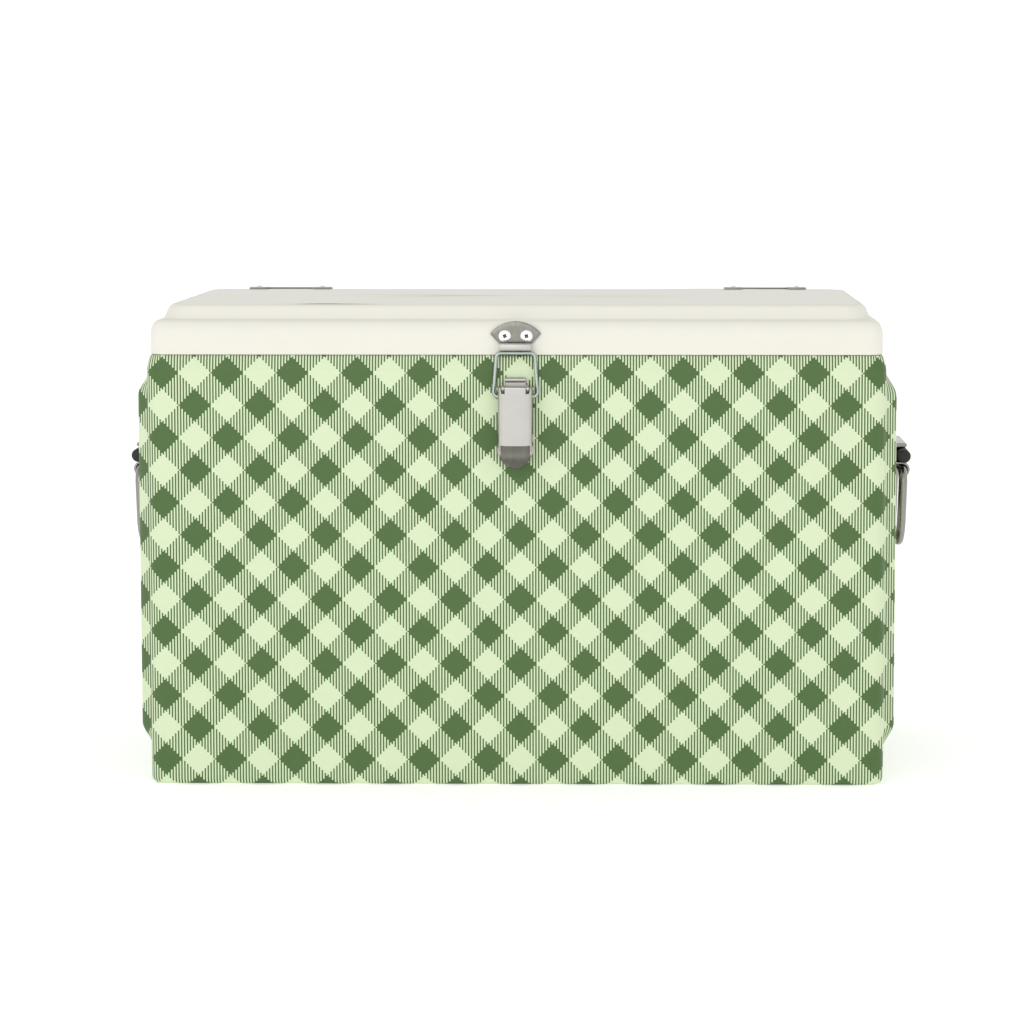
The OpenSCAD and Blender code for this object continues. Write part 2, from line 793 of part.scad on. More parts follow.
module stop_pegs(side, r, l) {
    for (s = [-1, 1])
        translate([side * (face_x + web_out + bracket_t + 1), s * peg_y, stop_z])
            rotate([0, -side * 90, 0]) cylinder(h = l + 1, r = r);
}

module handle_bracket(side) {
    color(chrome) difference() {
        union() {
            end_bar(side, plate_w) translate([0, plate_low]) square([bracket_t, plate_high - plate_low]);
            end_bar(side, bracket_w) {
                translate([0, plate_high - bracket_t]) square([nose_out, bracket_t]);
                translate([0, pivot_z - knuckle_wall]) square([pivot_out, bracket_t]);
                translate([web_out, pivot_z]) square([bracket_t, nose_z - pivot_z]);
                translate([pivot_out, pivot_z]) circle(knuckle_wall);
                translate([nose_out, nose_z]) circle(nose_r);
                translate([web_out, nose_z - bracket_t / 2]) square([nose_out - web_out, bracket_t]);
            }
        }
        end_bar(side, 2 * bail_w) {
            translate([pivot_out, pivot_z]) circle(rod_r + run_gap);
            translate([nose_out, nose_z]) circle(nose_r - bracket_t);
        }
        stop_pegs(side, peg_r + run_gap, 2 * peg_l);
        at_handle_rivets(side) hole(rivet_r + bolt_gap, bracket_t);
    }
}

module handle_rivets(side) {
    color(steel) at_handle_rivets(side) fastener(rivet_r, rivet_l, rivet_head_r, rivet_head_h);
}

module handle_stop(side) {
    color(black) {
        end_bar(side, stop_l) translate([stop_out, stop_z]) circle(stop_r);
        stop_pegs(side, peg_r, peg_l);
    }
}

module bail(side) {
    color(chrome) translate([side * (face_x + pivot_out), 0, pivot_z - bail_drop / 2]) rotate([90, 0, 90])
        ring(bail_w, bail_drop, rod_r, bail_bend);
}

// Drain

module drain_tube() {
    seat = back_y + washer_t;
    color(white) at_drain() difference() {
        union() {
            translate([0, 0, drain_in]) cylinder(h = seat - drain_in, r = tube_r);
            translate([0, 0, seat]) cylinder(h = ring_t, r = ring_r);
        }
        cylinder(h = chest_d, r = drain_r + run_gap);
    }
}

module drain_washer() {
    color(black) at_drain() translate([0, 0, back_y]) difference() {
        cylinder(h = washer_t, r = ring_r);
        translate([0, 0, -over]) cylinder(h = washer_t + 2 * over, r = tube_r + bolt_gap);
    }
}

module drain_nut() {
    color(white) at_drain() translate([0, 0, drain_in]) difference() {
        cylinder(h = nut_t, r = ring_r, $fn = 6);
        translate([0, 0, -over]) cylinder(h = nut_t + 2 * over, r = tube_r + bolt_gap);
    }
}

module drain_plug() {
    seat = back_y + washer_t + ring_t;
    grip_w = 3;
    root = 1; // of the grip sunk in the head
    color(black) at_drain() translate([0, 0, seat]) {
        translate([0, 0, -bung_l]) cylinder(h = bung_l, r = drain_r);
        cylinder(h = bung_head_h, r = bung_head_r);
        translate([-bung_head_r / 2, -grip_w / 2, bung_head_h - root])
            cube([bung_head_r, grip_w, 2 * grip_w]);
    }
}

body_shell();
bottom_pan();
body_foam();
inner_liner();
lid_shell();
lid_foam();
lid_liner();
lid_gasket();
hinge_body_leaf(-1);  // hinge_body_leaf_left
hinge_body_leaf(1);  // hinge_body_leaf_right
hinge_pin(-1);  // hinge_pin_left
hinge_pin(1);  // hinge_pin_right
hinge_lid_leaf(-1);  // hinge_lid_leaf_left
hinge_lid_leaf(1);  // hinge_lid_leaf_right
hinge_body_screws();
hinge_lid_screws();
latch_base();
latch_base_rivets();
latch_pin();
latch_lever();
latch_wire();
keeper();
keeper_screws();
handle_bracket(-1);  // handle_bracket_left
handle_bracket(1);  // handle_bracket_right
handle_rivets(-1);  // handle_rivets_left
handle_rivets(1);  // handle_rivets_right
handle_stop(-1);  // handle_stop_left
handle_stop(1);  // handle_stop_right
bail(-1);  // bail_left
bail(1);  // bail_right
drain_tube();
drain_washer();
drain_nut();
drain_plug();
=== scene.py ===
"""Looks of a steel-shelled cooler chest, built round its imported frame.

Every piece is a surface worked out with numpy and rides on one of the frame's bodies.
Lengths are in metres, +X is the right-hand end, -Y the front and +Z up.
"""

import math

import bpy
import numpy as np
from bpy.props import FloatProperty, FloatVectorProperty, IntProperty, PointerProperty
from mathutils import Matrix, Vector


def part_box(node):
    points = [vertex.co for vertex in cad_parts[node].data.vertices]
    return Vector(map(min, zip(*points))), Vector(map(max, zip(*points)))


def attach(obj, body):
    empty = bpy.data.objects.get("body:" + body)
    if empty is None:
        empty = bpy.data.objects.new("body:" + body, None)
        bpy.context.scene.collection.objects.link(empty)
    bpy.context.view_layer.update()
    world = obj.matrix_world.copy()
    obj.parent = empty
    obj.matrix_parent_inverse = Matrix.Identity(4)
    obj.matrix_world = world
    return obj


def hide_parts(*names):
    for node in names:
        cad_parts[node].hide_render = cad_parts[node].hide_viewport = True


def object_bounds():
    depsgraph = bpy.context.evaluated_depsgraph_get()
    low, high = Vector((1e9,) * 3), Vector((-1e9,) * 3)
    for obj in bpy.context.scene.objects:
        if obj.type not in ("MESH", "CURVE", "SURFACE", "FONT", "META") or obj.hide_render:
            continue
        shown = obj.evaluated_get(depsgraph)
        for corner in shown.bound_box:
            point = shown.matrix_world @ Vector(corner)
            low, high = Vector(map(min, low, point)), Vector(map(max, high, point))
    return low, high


bl_info = {
    "name": "Cooler Chest",
    "version": (1, 0, 0),
    "blender": (4, 5, 0),
    "location": "View3D > Sidebar > Chest",
    "description": "Builds the pieces and finishes of a printed steel cooler chest",
    "category": "Add Mesh",
}

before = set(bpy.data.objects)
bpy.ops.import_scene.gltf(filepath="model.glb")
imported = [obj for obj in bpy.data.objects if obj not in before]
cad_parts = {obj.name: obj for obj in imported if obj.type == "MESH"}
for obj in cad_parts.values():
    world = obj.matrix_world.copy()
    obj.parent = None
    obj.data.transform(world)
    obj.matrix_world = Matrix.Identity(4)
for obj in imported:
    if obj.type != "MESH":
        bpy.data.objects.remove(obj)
CAD_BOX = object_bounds()
MM = 0.001
SIDES = {"left": -1, "right": 1}


# Sizes that the frame's boxes don't tell

STEEL = 1.0 * MM
CORNER_R = 12 * MM
BASE_R = 6 * MM
SHOULDER_IN = 2.8 * MM
SHOULDER_H = 12 * MM
PANEL_OUT = 9.5 * MM
PANEL_LOW = 24 * MM
PANEL_TOP_GAP = 11 * MM
PANEL_SIDE_GAP = 14 * MM
PANEL_RUN = 22 * MM
PANEL_SIDE_RUN = 14 * MM
PRINT_ON_RUN = 0.1
PRINT_ON_CORNER = 0.08
TUB_T = 2.5 * MM
TUB_R = 26 * MM
RIM_R = 10.5 * MM
WALL_DEPTH = 25 * MM
SKIRT_H = 26.5 * MM
HEM_DROP = 0.5 * MM
SKIRT_R = 7 * MM
CROWN_SLOPE = 5 * MM
CROWN_R = 18 * MM
PLUG_GAP = 5 * MM
LATCH_T = 1.5 * MM
LEVER_W = 27 * MM
LEVER_L = 44.5 * MM
LEVER_RISE = 1.2 * MM
EAR_X = 9.75 * MM
LOOP_TOP_X = 15 * MM
LOOP_LOW_X = 17.5 * MM
WIRE_R = 1.45 * MM
HOOK_W = 25 * MM
HOOK_LIP = 5.3 * MM
HOOK_THROAT = 4.6 * MM
ROD_R = 3.6 * MM
BRACKET_T = 2 * MM
BRACKET_W = 76 * MM
NOSE_R = 4.4 * MM
KNUCKLE_R = 6.4 * MM
STOP_R = 5.85 * MM
LEAF_T = 1.5 * MM
LEAF_KNUCKLE_L = 30 * MM


def srgb(red, green, blue):
    """Linear colour of an 8-bit display colour, by the display's own curve."""
    def lin(c):
        c /= 255
        return c / 12.92 if c <= 0.04045 else ((c + 0.055) / 1.055) ** 2.4
    return lin(red), lin(green), lin(blue)


def lit(red, green, blue, gain=1.2):
    """Paint colour that shows as the given display colour under light of the given gain."""
    return tuple(c / gain for c in srgb(red, green, blue))


def node_box(name):
    """Lowest and highest corner of a frame node, as arrays."""
    low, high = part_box(name)
    return np.array(low), np.array(high)


# Settings

def colour(label, text, value):
    return FloatVectorProperty(name=label, description=text, default=value, size=3, min=0, max=1,
                               subtype="COLOR")


def length(label, text, value):
    return FloatProperty(name=label, description=text, default=value, min=0, subtype="DISTANCE",
                         unit="LENGTH")


class CHEST_PG_print(bpy.types.PropertyGroup):
    """The printed check on the body."""
    dark: colour("Dark green", "Colour of the dark checks and stripes", (0.073, 0.137, 0.043))
    light: colour("Light green", "Colour of the light checks and stripes", (0.625, 0.725, 0.485))
    check: length("Check", "Distance from one check to the next along a row", 25.57 * MM)
    across: length("Across", "Place of one dark check across the front", -277.9 * MM)
    up: length("Up", "Height of that check above the floor", 327.3 * MM)
    stripes: IntProperty(name="Stripes", description="Dark and light stripes in one check", default=22, min=2)


class CHEST_PG_finish(bpy.types.PropertyGroup):
    """Colours of the plain finishes."""
    cream: colour("Cream", "Enamel of the lid", lit(243, 241, 229))
    plastic: colour("Plastic", "Tub and lid lining", lit(240, 240, 235))
    rubber: colour("Rubber", "Stops, seal and bung", srgb(34, 33, 32))
    bright: colour("Bright steel", "Lever and hook", srgb(186, 184, 179))
    grey: colour("Grey steel", "Keeper and hinges", srgb(160, 158, 150))
    chrome: colour("Chrome", "End handles", srgb(150, 148, 142))
    edge: length("Edge", "Rounding of cut sheet edges", 0.3 * MM)


class CHEST_PG_stage(bpy.types.PropertyGroup):
    """Camera and light."""
    lens: FloatProperty(name="Lens", description="Focal length in millimetres", default=123.6, min=20)
    distance: length("Distance", "Camera's distance from the front wall", 2.75)
    height: length("Height", "Camera's height above the floor", 0.507)
    aside: length("Aside", "Camera's distance to the right of the middle", 0.095)
    pitch: FloatProperty(name="Pitch", description="Downward tilt", default=math.radians(6), subtype="ANGLE")
    yaw: FloatProperty(name="Yaw", description="Turn to the left", default=math.radians(0.9), subtype="ANGLE")
    shift: FloatProperty(name="Shift", description="Sideways shift of the lens", default=-0.0681)


def settings():
    scene = bpy.context.scene
    return scene.chest_print, scene.chest_finish, scene.chest_stage


# Shader maths

class Field:
    """A value in a shader, which + - * / % < > act on by adding Math nodes."""

    def __init__(self, graph, socket):
        self.graph = graph
        self.socket = socket

    def maths(self, operation, *values):
        node = self.graph.add("ShaderNodeMath", {"operation": operation}, dict(enumerate(values)))
        return Field(self.graph, node.outputs[0])

    def __add__(self, other):
        return self.maths("ADD", self, other)

    def __sub__(self, other):
        return self.maths("SUBTRACT", self, other)

    def __rsub__(self, other):
        return self.maths("SUBTRACT", other, self)

    def __mul__(self, other):
        return self.maths("MULTIPLY", self, other)

    def __truediv__(self, other):
        return self.maths("DIVIDE", self, other)

    def __mod__(self, other):
        return self.maths("FLOORED_MODULO", self, other)

    def floor(self):
        return self.maths("FLOOR", self)

    __radd__ = __add__
    __rmul__ = __mul__


class Nodes:
    """Adds nodes to a tree and feeds their sockets."""

    def __init__(self, tree):
        self.tree = tree

    def add(self, kind, options, values):
        """A node of a kind, its settings (a ramp's stops among them), then its sockets."""
        node = self.tree.nodes.new(kind)
        for index, (place, shade) in enumerate(options.pop("stops", ())):
            stop = node.color_ramp.elements[index]
            stop.position, stop.color = place, shade
        for key, value in options.items():
            setattr(node, key, value)
        for key, value in values.items():
            self.feed(node.inputs[key], value)
        return node

    def feed(self, target, value):
        if isinstance(value, Field):
            self.tree.links.new(value.socket, target)
        elif isinstance(value, tuple) and len(value) == 3 and target.type == "RGBA":
            target.default_value = (*value, 1)
        else:
            target.default_value = value

    def field(self, kind, output, options=None, **values):
        node = self.add(kind, dict(options or {}), {k.replace("_", " "): v for k, v in values.items()})
        return Field(self, node.outputs[output])


class Graph(Nodes):
    """One material: a Principled shader and the nodes that feed it."""

    def __init__(self, name, **constants):
        self.material = bpy.data.materials.new(name)
        self.material.use_nodes = True
        self.tree = self.material.node_tree
        self.shader = self.tree.nodes["Principled BSDF"]
        for label, value in constants.items():
            self.shader.inputs[label.replace("_", " ").title().replace("Ior", "IOR")].default_value = value

    def place(self):
        """The point on the piece, in metres."""
        return self.field("ShaderNodeTexCoord", "Object")

    def noise(self, size, detail=2, stretch=(1, 1, 1)):
        """Soft noise with spots of about the given size, drawn out by stretch along each axis."""
        mapped = self.field("ShaderNodeMapping", "Vector", Vector=self.place(),
                            Scale=tuple(1 / s for s in stretch))
        return self.field("ShaderNodeTexNoise", "Fac", Vector=mapped, Scale=1 / size, Detail=detail)

    def blend(self, share, first, second):
        node = self.add("ShaderNodeMix", {"data_type": "RGBA"}, {0: share, 6: first, 7: second})
        return Field(self, node.outputs[2])

    def bump(self, height, depth):
        """Bump of the given depth in metres."""
        node = self.add("ShaderNodeBump", {}, {"Height": height, "Distance": depth, "Strength": 1.0})
        self.feed(self.shader.inputs["Normal"], Field(self, node.outputs["Normal"]))

    def set(self, **fields):
        for label, value in fields.items():
            self.feed(self.shader.inputs[label.replace("_", " ").title()], value)
        return self.material


def tinted(colour_value, gain):
    return tuple(min(1.0, c * gain) for c in colour_value)


def gingham():
    """Diagonal check: on axes turned by 45 degrees, cells that are even both ways are dark,
    cells that are odd both ways are light, and the rest are filled with upright stripes."""
    look = settings()[0]
    g = Graph("gingham_enamel", specular_ior_level=0.25)
    wrap = g.field("ShaderNodeSeparateXYZ", "X", Vector=g.field("ShaderNodeUVMap", "UV", {"uv_map": "wrap"}))
    up = Field(g, wrap.socket.node.outputs["Y"])
    across = (wrap - look.across) / look.check
    along = (up - look.up) / look.check
    stripe = (across * look.stripes).floor()
    stepped = (stripe + 0.5) / look.stripes
    rising = (stepped + along + 0.5).floor() % 2
    falling = (stepped - along + 0.5).floor() % 2
    both_even = (1 - rising) * (1 - falling)
    mixed = rising + falling - rising * falling * 2
    ink = both_even + mixed * (1 - stripe % 2)
    cloud = g.noise(60 * MM) * 0.5 + g.noise(4 * MM) * 0.5
    light = g.blend(cloud, tinted(look.light, 0.975), tinted(look.light, 1.025))
    dark = g.blend(cloud, tinted(look.dark, 0.94), tinted(look.dark, 1.06))
    g.bump(g.noise(1.6 * MM, 1) + ink * 0.4, 0.006 * MM)
    return g.set(base_color=g.blend(ink, light, dark), roughness=0.40 + g.noise(9 * MM) * 0.08)


def enamel(name, paint, roughness=0.42):
    g = Graph(name, specular_ior_level=0.25)
    cloud = g.noise(80 * MM) * 0.6 + g.noise(6 * MM) * 0.4
    g.bump(g.noise(1.8 * MM, 1), 0.02 * MM)
    return g.set(base_color=g.blend(cloud, tinted(paint, 0.98), tinted(paint, 1.02)),
                 roughness=roughness + g.noise(12 * MM) * 0.08)


def plastic(name, paint, roughness=0.38):
    g = Graph(name)
    grain = g.noise(0.9 * MM, 2)
    g.bump(grain, 0.03 * MM)
    return g.set(base_color=g.blend(g.noise(40 * MM), tinted(paint, 0.97), tinted(paint, 1.0)),
                 roughness=roughness + grain * 0.1)


def rubber(name, paint):
    g = Graph(name)
    grain = g.noise(0.7 * MM, 3)
    g.bump(grain, 0.05 * MM)
    return g.set(base_color=g.blend(g.noise(9 * MM, 3), tinted(paint, 0.8), tinted(paint, 1.5)),
                 roughness=0.55 + grain * 0.2)


def brushed(name, tint, roughness, grain=(1, 1, 30), width=0.25 * MM, deep=0.86):
    """Steel with scratches of a width, drawn out along one axis; deep is the darkest shade."""
    g = Graph(name, metallic=1.0)
    line = g.noise(width, 3, grain)
    smear = g.noise(7 * MM, 2)
    g.bump(line, 0.004 * MM)
    return g.set(base_color=g.blend(line * 0.6 + smear * 0.4, tinted(tint, deep), tinted(tint, 1.96 - deep)),
                 roughness=roughness + line * 0.12 + smear * 0.06)


def foam():
    g = Graph("foam", roughness=0.9)
    cell = g.noise(1.2 * MM, 3)
    g.bump(cell, 0.3 * MM)
    return g.set(base_color=g.blend(cell, srgb(226, 210, 158), srgb(246, 234, 190)))


FINISHES = {}


def finish(name):
    """The named material, made on first use."""
    look = settings()[1]
    makers = {
        "gingham": gingham,
        "cream": lambda: enamel("cream_enamel", look.cream),
        "green": lambda: enamel("green_enamel", lit(140, 166, 122)),
        "plastic": lambda: plastic("white_plastic", look.plastic),
        "rubber": lambda: rubber("black_rubber", look.rubber),
        "bright": lambda: brushed("brushed_stainless", look.bright, 0.30),
        "grey": lambda: brushed("polished_stainless", look.grey, 0.22, (30, 1, 1)),
        # Keeper plate: the same steel as its hook, tinted darker and mottled as painted dark reflection
        "keeper": lambda: brushed("mottled_steel_painted_dark_reflection", srgb(136, 134, 127), 0.25, (1, 1, 5), 1.6 * MM, 0.6),
        "wire": lambda: brushed("drawn_wire", srgb(168, 176, 172), 0.18),
        "screw": lambda: brushed("plated_screws", srgb(245, 245, 245), 0.25, (1, 1, 1)),
        # Screw recess: the plated screw's own metal painted dark grey as painted shade in the cross
        "recess": lambda: brushed("screw_recess_painted_shade", srgb(96, 94, 92), 0.4, (1, 1, 1)),
        "chrome": lambda: brushed("chrome_plate", look.chrome, 0.16, (1, 30, 1)),
        "zinc": lambda: brushed("zinc_plate", look.grey, 0.34, (1, 1, 20)),
        # Thumb tab: the lever's own steel, darkened and mottled as painted dark reflection
        "thumb": lambda: brushed("thumb_tab_painted_reflection", srgb(100, 99, 92), 0.24, (1, 1, 3), 2.5 * MM, 0.6),
        "foam": foam,
    }
    if name not in FINISHES:
        FINISHES[name] = makers[name]()
    return FINISHES[name]


# Meshes

def grid_faces(rows, columns, wrap_rows, wrap_columns):
    """Quads between neighbours of a grid of points numbered row by row."""
    i = np.arange(rows if wrap_rows else rows - 1)[:, None]
    j = np.arange(columns if wrap_columns else columns - 1)[None, :]
    i2 = (i + 1) % rows
    j2 = (j + 1) % columns
    corners = [i * columns + j, i2 * columns + j, i2 * columns + j2, i * columns + j2]
    return np.stack(corners, -1).reshape(-1, 4)


def fan(ring, centre, flip):
    """Triangles from a closed ring of point numbers to one centre."""
    after, middle = np.roll(ring, -1), np.full_like(ring, centre)
    return np.stack([after, ring, middle] if flip else [ring, after, middle], -1)


def volume(points, quads, triangles):
    """Six times the space inside, as the sum of each triangle's triple product."""
    parts = [quads[:, [0, 1, 2]], quads[:, [0, 2, 3]], triangles]
    corner = points[np.concatenate([p for p in parts if len(p)])]
    return np.einsum("ij,ij->", corner[:, 0], np.cross(corner[:, 1], corner[:, 2]))


def surface(name, grid, wrap_rows=False, wrap_columns=False, caps=(False, False), uv=None, closed=True):
    """A mesh object from a grid of points. A cap closes the first or last column with a fan."""
    rows, columns = grid.shape[:2]
    points = grid.reshape(-1, 3)
    quads = grid_faces(rows, columns, wrap_rows, wrap_columns)
    triangles = np.zeros((0, 3), int)
    for wanted, column, flip in ((caps[0], 0, False), (caps[1], columns - 1, True)):
        if wanted:
            ring = np.arange(rows) * columns + column
            points = np.vstack([points, grid[:, column].mean(axis=0)])
            triangles = np.vstack([triangles, fan(ring, len(points) - 1, flip)])
    if closed and volume(points, quads, triangles) < 0:
        quads, triangles = quads[:, ::-1], triangles[:, ::-1]
        if uv is not None:
            uv = uv[:, ::-1]
    mesh = bpy.data.meshes.new(name)
    mesh.from_pydata(points.tolist(), [], quads.tolist() + triangles.tolist())
    if uv is not None:
        layer = mesh.uv_layers.new(name="wrap")
        spare = np.zeros((3 * len(triangles), 2))
        layer.data.foreach_set("uv", np.vstack([uv.reshape(-1, 2), spare]).astype(np.float32).ravel())
    mesh.shade_smooth()
    mesh.set_sharp_from_angle(angle=math.radians(42))
    made = bpy.data.objects.new(name, mesh)
    bpy.context.scene.collection.objects.link(made)
    return made


def face_centres(piece):
    """Middle of each face of a piece, row by row."""
    faces = piece.data.polygons
    centre = np.empty(3 * len(faces), np.float32)
    faces.foreach_get("center", centre)
    return centre.reshape(-1, 3)


def dress(piece, body, slot, material, *replaced):
    """Gives a piece its material and body, and hides the frame nodes it stands for. The slot is not used."""
    piece.data.materials.append(finish(material))
    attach(piece, body)
    if replaced:
        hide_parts(*replaced)
    return piece


def thicken(piece, thickness, offset=0.0, edge=None):
    """Gives a sheet its thickness and breaks its cut edges."""
    wall = piece.modifiers.new("wall", "SOLIDIFY")
    wall.thickness = thickness
    wall.offset = offset
    if edge:
        cut = piece.modifiers.new("edge", "BEVEL")
        cut.width = edge
        cut.segments = 2
        cut.limit_method = "ANGLE"
        cut.angle_limit = math.radians(55)
    return piece


def joined(name, pieces):
    """One object from several, with modifiers applied first."""
    graph = bpy.context.evaluated_depsgraph_get()
    for piece in pieces:
        solid = bpy.data.meshes.new_from_object(piece.evaluated_get(graph))
        piece.modifiers.clear()
        piece.data = solid
    with bpy.context.temp_override(active_object=pieces[0], selected_editable_objects=pieces):
        bpy.ops.object.join()
    pieces[0].name = name
    return pieces[0]


def spread(*stretches):
    """Sorted stops from (start, end, count) stretches, each stop once."""
    stops = np.concatenate([np.linspace(*s) for s in stretches])
    return np.unique(np.round(stops, 6))


def outline(front, side, turn=8):
    """Stops round a rounded rectangle from the back's middle by the left, front and right.

    Each stop holds a share of the half width and depth that lies inside the corner's centre, and
    a unit way out of it: a point is share * (half - r) + way * r. Front and side are the stops'
    shares along those straights.
    """
    angle = np.linspace(0, math.pi / 2, turn + 1)[1:-1]
    sin, cos, one = np.sin(angle), np.cos(angle), np.ones(turn - 1)
    half = front[front >= 0]

    def straight(x, y, out):
        x, y = np.broadcast_arrays(x, y)
        return np.stack([x, y, np.full(x.shape, float(out[0])), np.full(x.shape, float(out[1]))], -1)

    def corner(x, y, out_x, out_y):
        return np.stack([x * one, y * one, out_x, out_y], -1)

    return np.concatenate([
        straight(-half, 1.0, (0, 1)), corner(-1, 1, -sin, cos),
        straight(-1.0, side[::-1], (-1, 0)), corner(-1, -1, -cos, -sin),
        straight(front, -1.0, (0, -1)), corner(1, -1, sin, -cos),
        straight(1.0, side, (1, 0)), corner(1, 1, cos, sin),
        straight(half[::-1][:-1], 1.0, (0, 1))])


PLAIN = outline(spread((-1, 1, 9), (-1, -0.97, 2), (0.97, 1, 2)),
                spread((-1, 1, 7), (-1, -0.95, 2), (0.95, 1, 2)))
PLAIN_FINE = outline(spread((-1, 1, 11), (-1, -0.98, 2), (0.98, 1, 2)),
                     spread((-1, 1, 9), (-1, -0.97, 2), (0.97, 1, 2)), 14)


def distinct(line):
    """The line without points that repeat the one before."""
    line = np.asarray(line, float)
    step = np.linalg.norm(np.diff(line, axis=0), axis=1)
    return line[np.concatenate([[True], step > 1e-6])]


def loft(stops, half_w, half_d, radius, z):
    """Rings of a rounded rectangle: row by row the stops, column by column the rings."""
    half_w, half_d, radius, z = np.broadcast_arrays(half_w, half_d, radius, z)
    share_x, share_y, way_x, way_y = (stops[:, k, None] for k in range(4))
    x = share_x * (half_w - radius) + way_x * radius
    y = share_y * (half_d - radius) + way_y * radius
    return np.stack([x, y, np.broadcast_to(z, x.shape)], -1)


def arc(centre, radius, start, end, count):
    """Points on an arc, with angles in degrees."""
    angle = np.radians(np.linspace(start, end, count))
    return np.stack([centre[0] + radius * np.cos(angle), centre[1] + radius * np.sin(angle)], -1)


def rounded_line(corners, radius, closed=False, count=7):
    """A polyline with each corner swapped for an arc that touches both its straights.

    The arc starts r * tan(turn / 2) before the corner and turns about a centre at right angles.
    """
    corners = np.array(corners, float)
    radius = np.broadcast_to(radius, len(corners))
    line = []
    for k, here in enumerate(corners):
        if not closed and k in (0, len(corners) - 1):
            line.append(here[None])
            continue
        before = here - corners[k - 1]
        after = corners[(k + 1) % len(corners)] - here
        before, after = before / np.linalg.norm(before), after / np.linalg.norm(after)
        turn = math.atan2(before[0] * after[1] - before[1] * after[0], before @ after)
        reach = radius[k] * math.tan(abs(turn) / 2)
        swing = turn * np.linspace(0, 1, count)[:, None]
        normal = np.array([-before[1], before[0]]) * math.copysign(1, turn)
        centre = here - before * reach + normal * radius[k]
        spin = np.hstack([np.cos(swing), np.sin(swing)])
        arm = -normal * radius[k]
        line.append(centre + np.stack([spin[:, 0] * arm[0] - spin[:, 1] * arm[1],
                                       spin[:, 1] * arm[0] + spin[:, 0] * arm[1]], -1))
    return np.concatenate(line)


def tube(name, path, normal, radius, closed=False, sides=20):
    """A round bar along a flat path: a circle of the given radius, in the plane of the path's own
    side way and the plane's normal, is carried along it."""
    normal = np.array(normal, float)
    ahead = np.roll(path, -1, axis=0) - np.roll(path, 1, axis=0)
    if not closed:
        ahead[0], ahead[-1] = path[1] - path[0], path[-1] - path[-2]
    side = np.cross(ahead, normal)
    side /= np.linalg.norm(side, axis=1)[:, None]
    angle = np.linspace(0, 2 * math.pi, sides, endpoint=False)[:, None, None]
    radius = np.broadcast_to(radius, len(path))[None, :, None]
    grid = path[None] + radius * (np.cos(angle) * side[None] + np.sin(angle) * normal)
    return surface(name, grid, wrap_rows=True, wrap_columns=closed, caps=(not closed, not closed))


def lathe(name, profile, base, axis, sides=32):
    """A turned piece: profile points (radius, height) carried round an axis from its base."""
    axis = np.array(axis, float)
    first = np.cross(axis, (0.3, 0.5, 0.8))
    first /= np.linalg.norm(first)
    second = np.cross(axis, first)
    angle = np.linspace(0, 2 * math.pi, sides, endpoint=False)[:, None, None]
    radius, height = profile[None, :, 0, None], profile[None, :, 1, None]
    grid = np.array(base) + radius * (np.cos(angle) * first + np.sin(angle) * second) + height * axis
    return surface(name, grid, wrap_rows=True, caps=(True, True))


def bent_sheet(name, path, low, high, across, thickness, edge):
    """Sheet whose middle line is a path, carried straight along an axis from low to high.

    Across names the axis: x takes the path as (y, z) and y takes it as (x, z).
    """
    path = distinct(path)
    stops = np.linspace(low, high, 3)[:, None]
    first, second = path[None, :, 0], path[None, :, 1]
    shape = np.broadcast_shapes(stops.shape, first.shape)
    parts = [np.broadcast_to(a, shape) for a in (stops, first, second)]
    grid = np.stack(parts if across == "x" else [parts[1], parts[0], parts[2]], -1)
    return thicken(surface(name, grid, closed=False), thickness, edge=edge)


# Body

def panel_rise(y, z, half, low, high):
    """Height of the pressed panel: a smooth step of how far a point lies up the run, where two runs
    meet as the distance to their corner."""
    up_side = (half - np.abs(y)) / PANEL_SIDE_RUN
    up_end = ((high - low) / 2 - np.abs(z - (low + high) / 2)) / PANEL_RUN
    share = np.clip(1 - np.hypot(np.maximum(1 - up_side, 0), np.maximum(1 - up_end, 0)), 0, 1)
    return PANEL_OUT * share ** 2 * (3 - 2 * share)


def body_rings(height):
    """Inset and height down one side of the wall, with its length along the sheet."""
    shoulder_z = height - SHOULDER_H
    high = height - PANEL_TOP_GAP
    near, crease = 42 * MM, 1 * MM
    wall = spread((BASE_R, shoulder_z, 22), (PANEL_LOW, PANEL_LOW + near, 22), (high - near, high, 22),
                  (BASE_R, BASE_R + crease, 2), (shoulder_z - crease, shoulder_z, 2))
    roll = arc((BASE_R, BASE_R), BASE_R, 270, 180, 7)
    lean = np.linspace(0, 0.9, 9)[1:]
    shoulder = np.stack([SHOULDER_IN * lean ** 1.4, shoulder_z + SHOULDER_H * lean], -1)
    edge_r = 1.2 * MM
    edge = arc((SHOULDER_IN + edge_r, height - edge_r), edge_r, 180, 90, 5)
    turned_under = [[12 * MM, 0], [BASE_R + crease, 0]]
    turned_in = [[WALL_DEPTH - 0.3 * MM, height]]
    rings = distinct(np.concatenate([turned_under, roll[:-1], np.stack([wall * 0, wall], -1), shoulder,
                                     edge, turned_in]))
    step = np.linalg.norm(np.diff(rings, axis=0), axis=1)
    along = np.concatenate([[0], np.cumsum(step)])
    at_wall = len(roll) + 1
    return rings, along - along[at_wall] + rings[at_wall, 1]


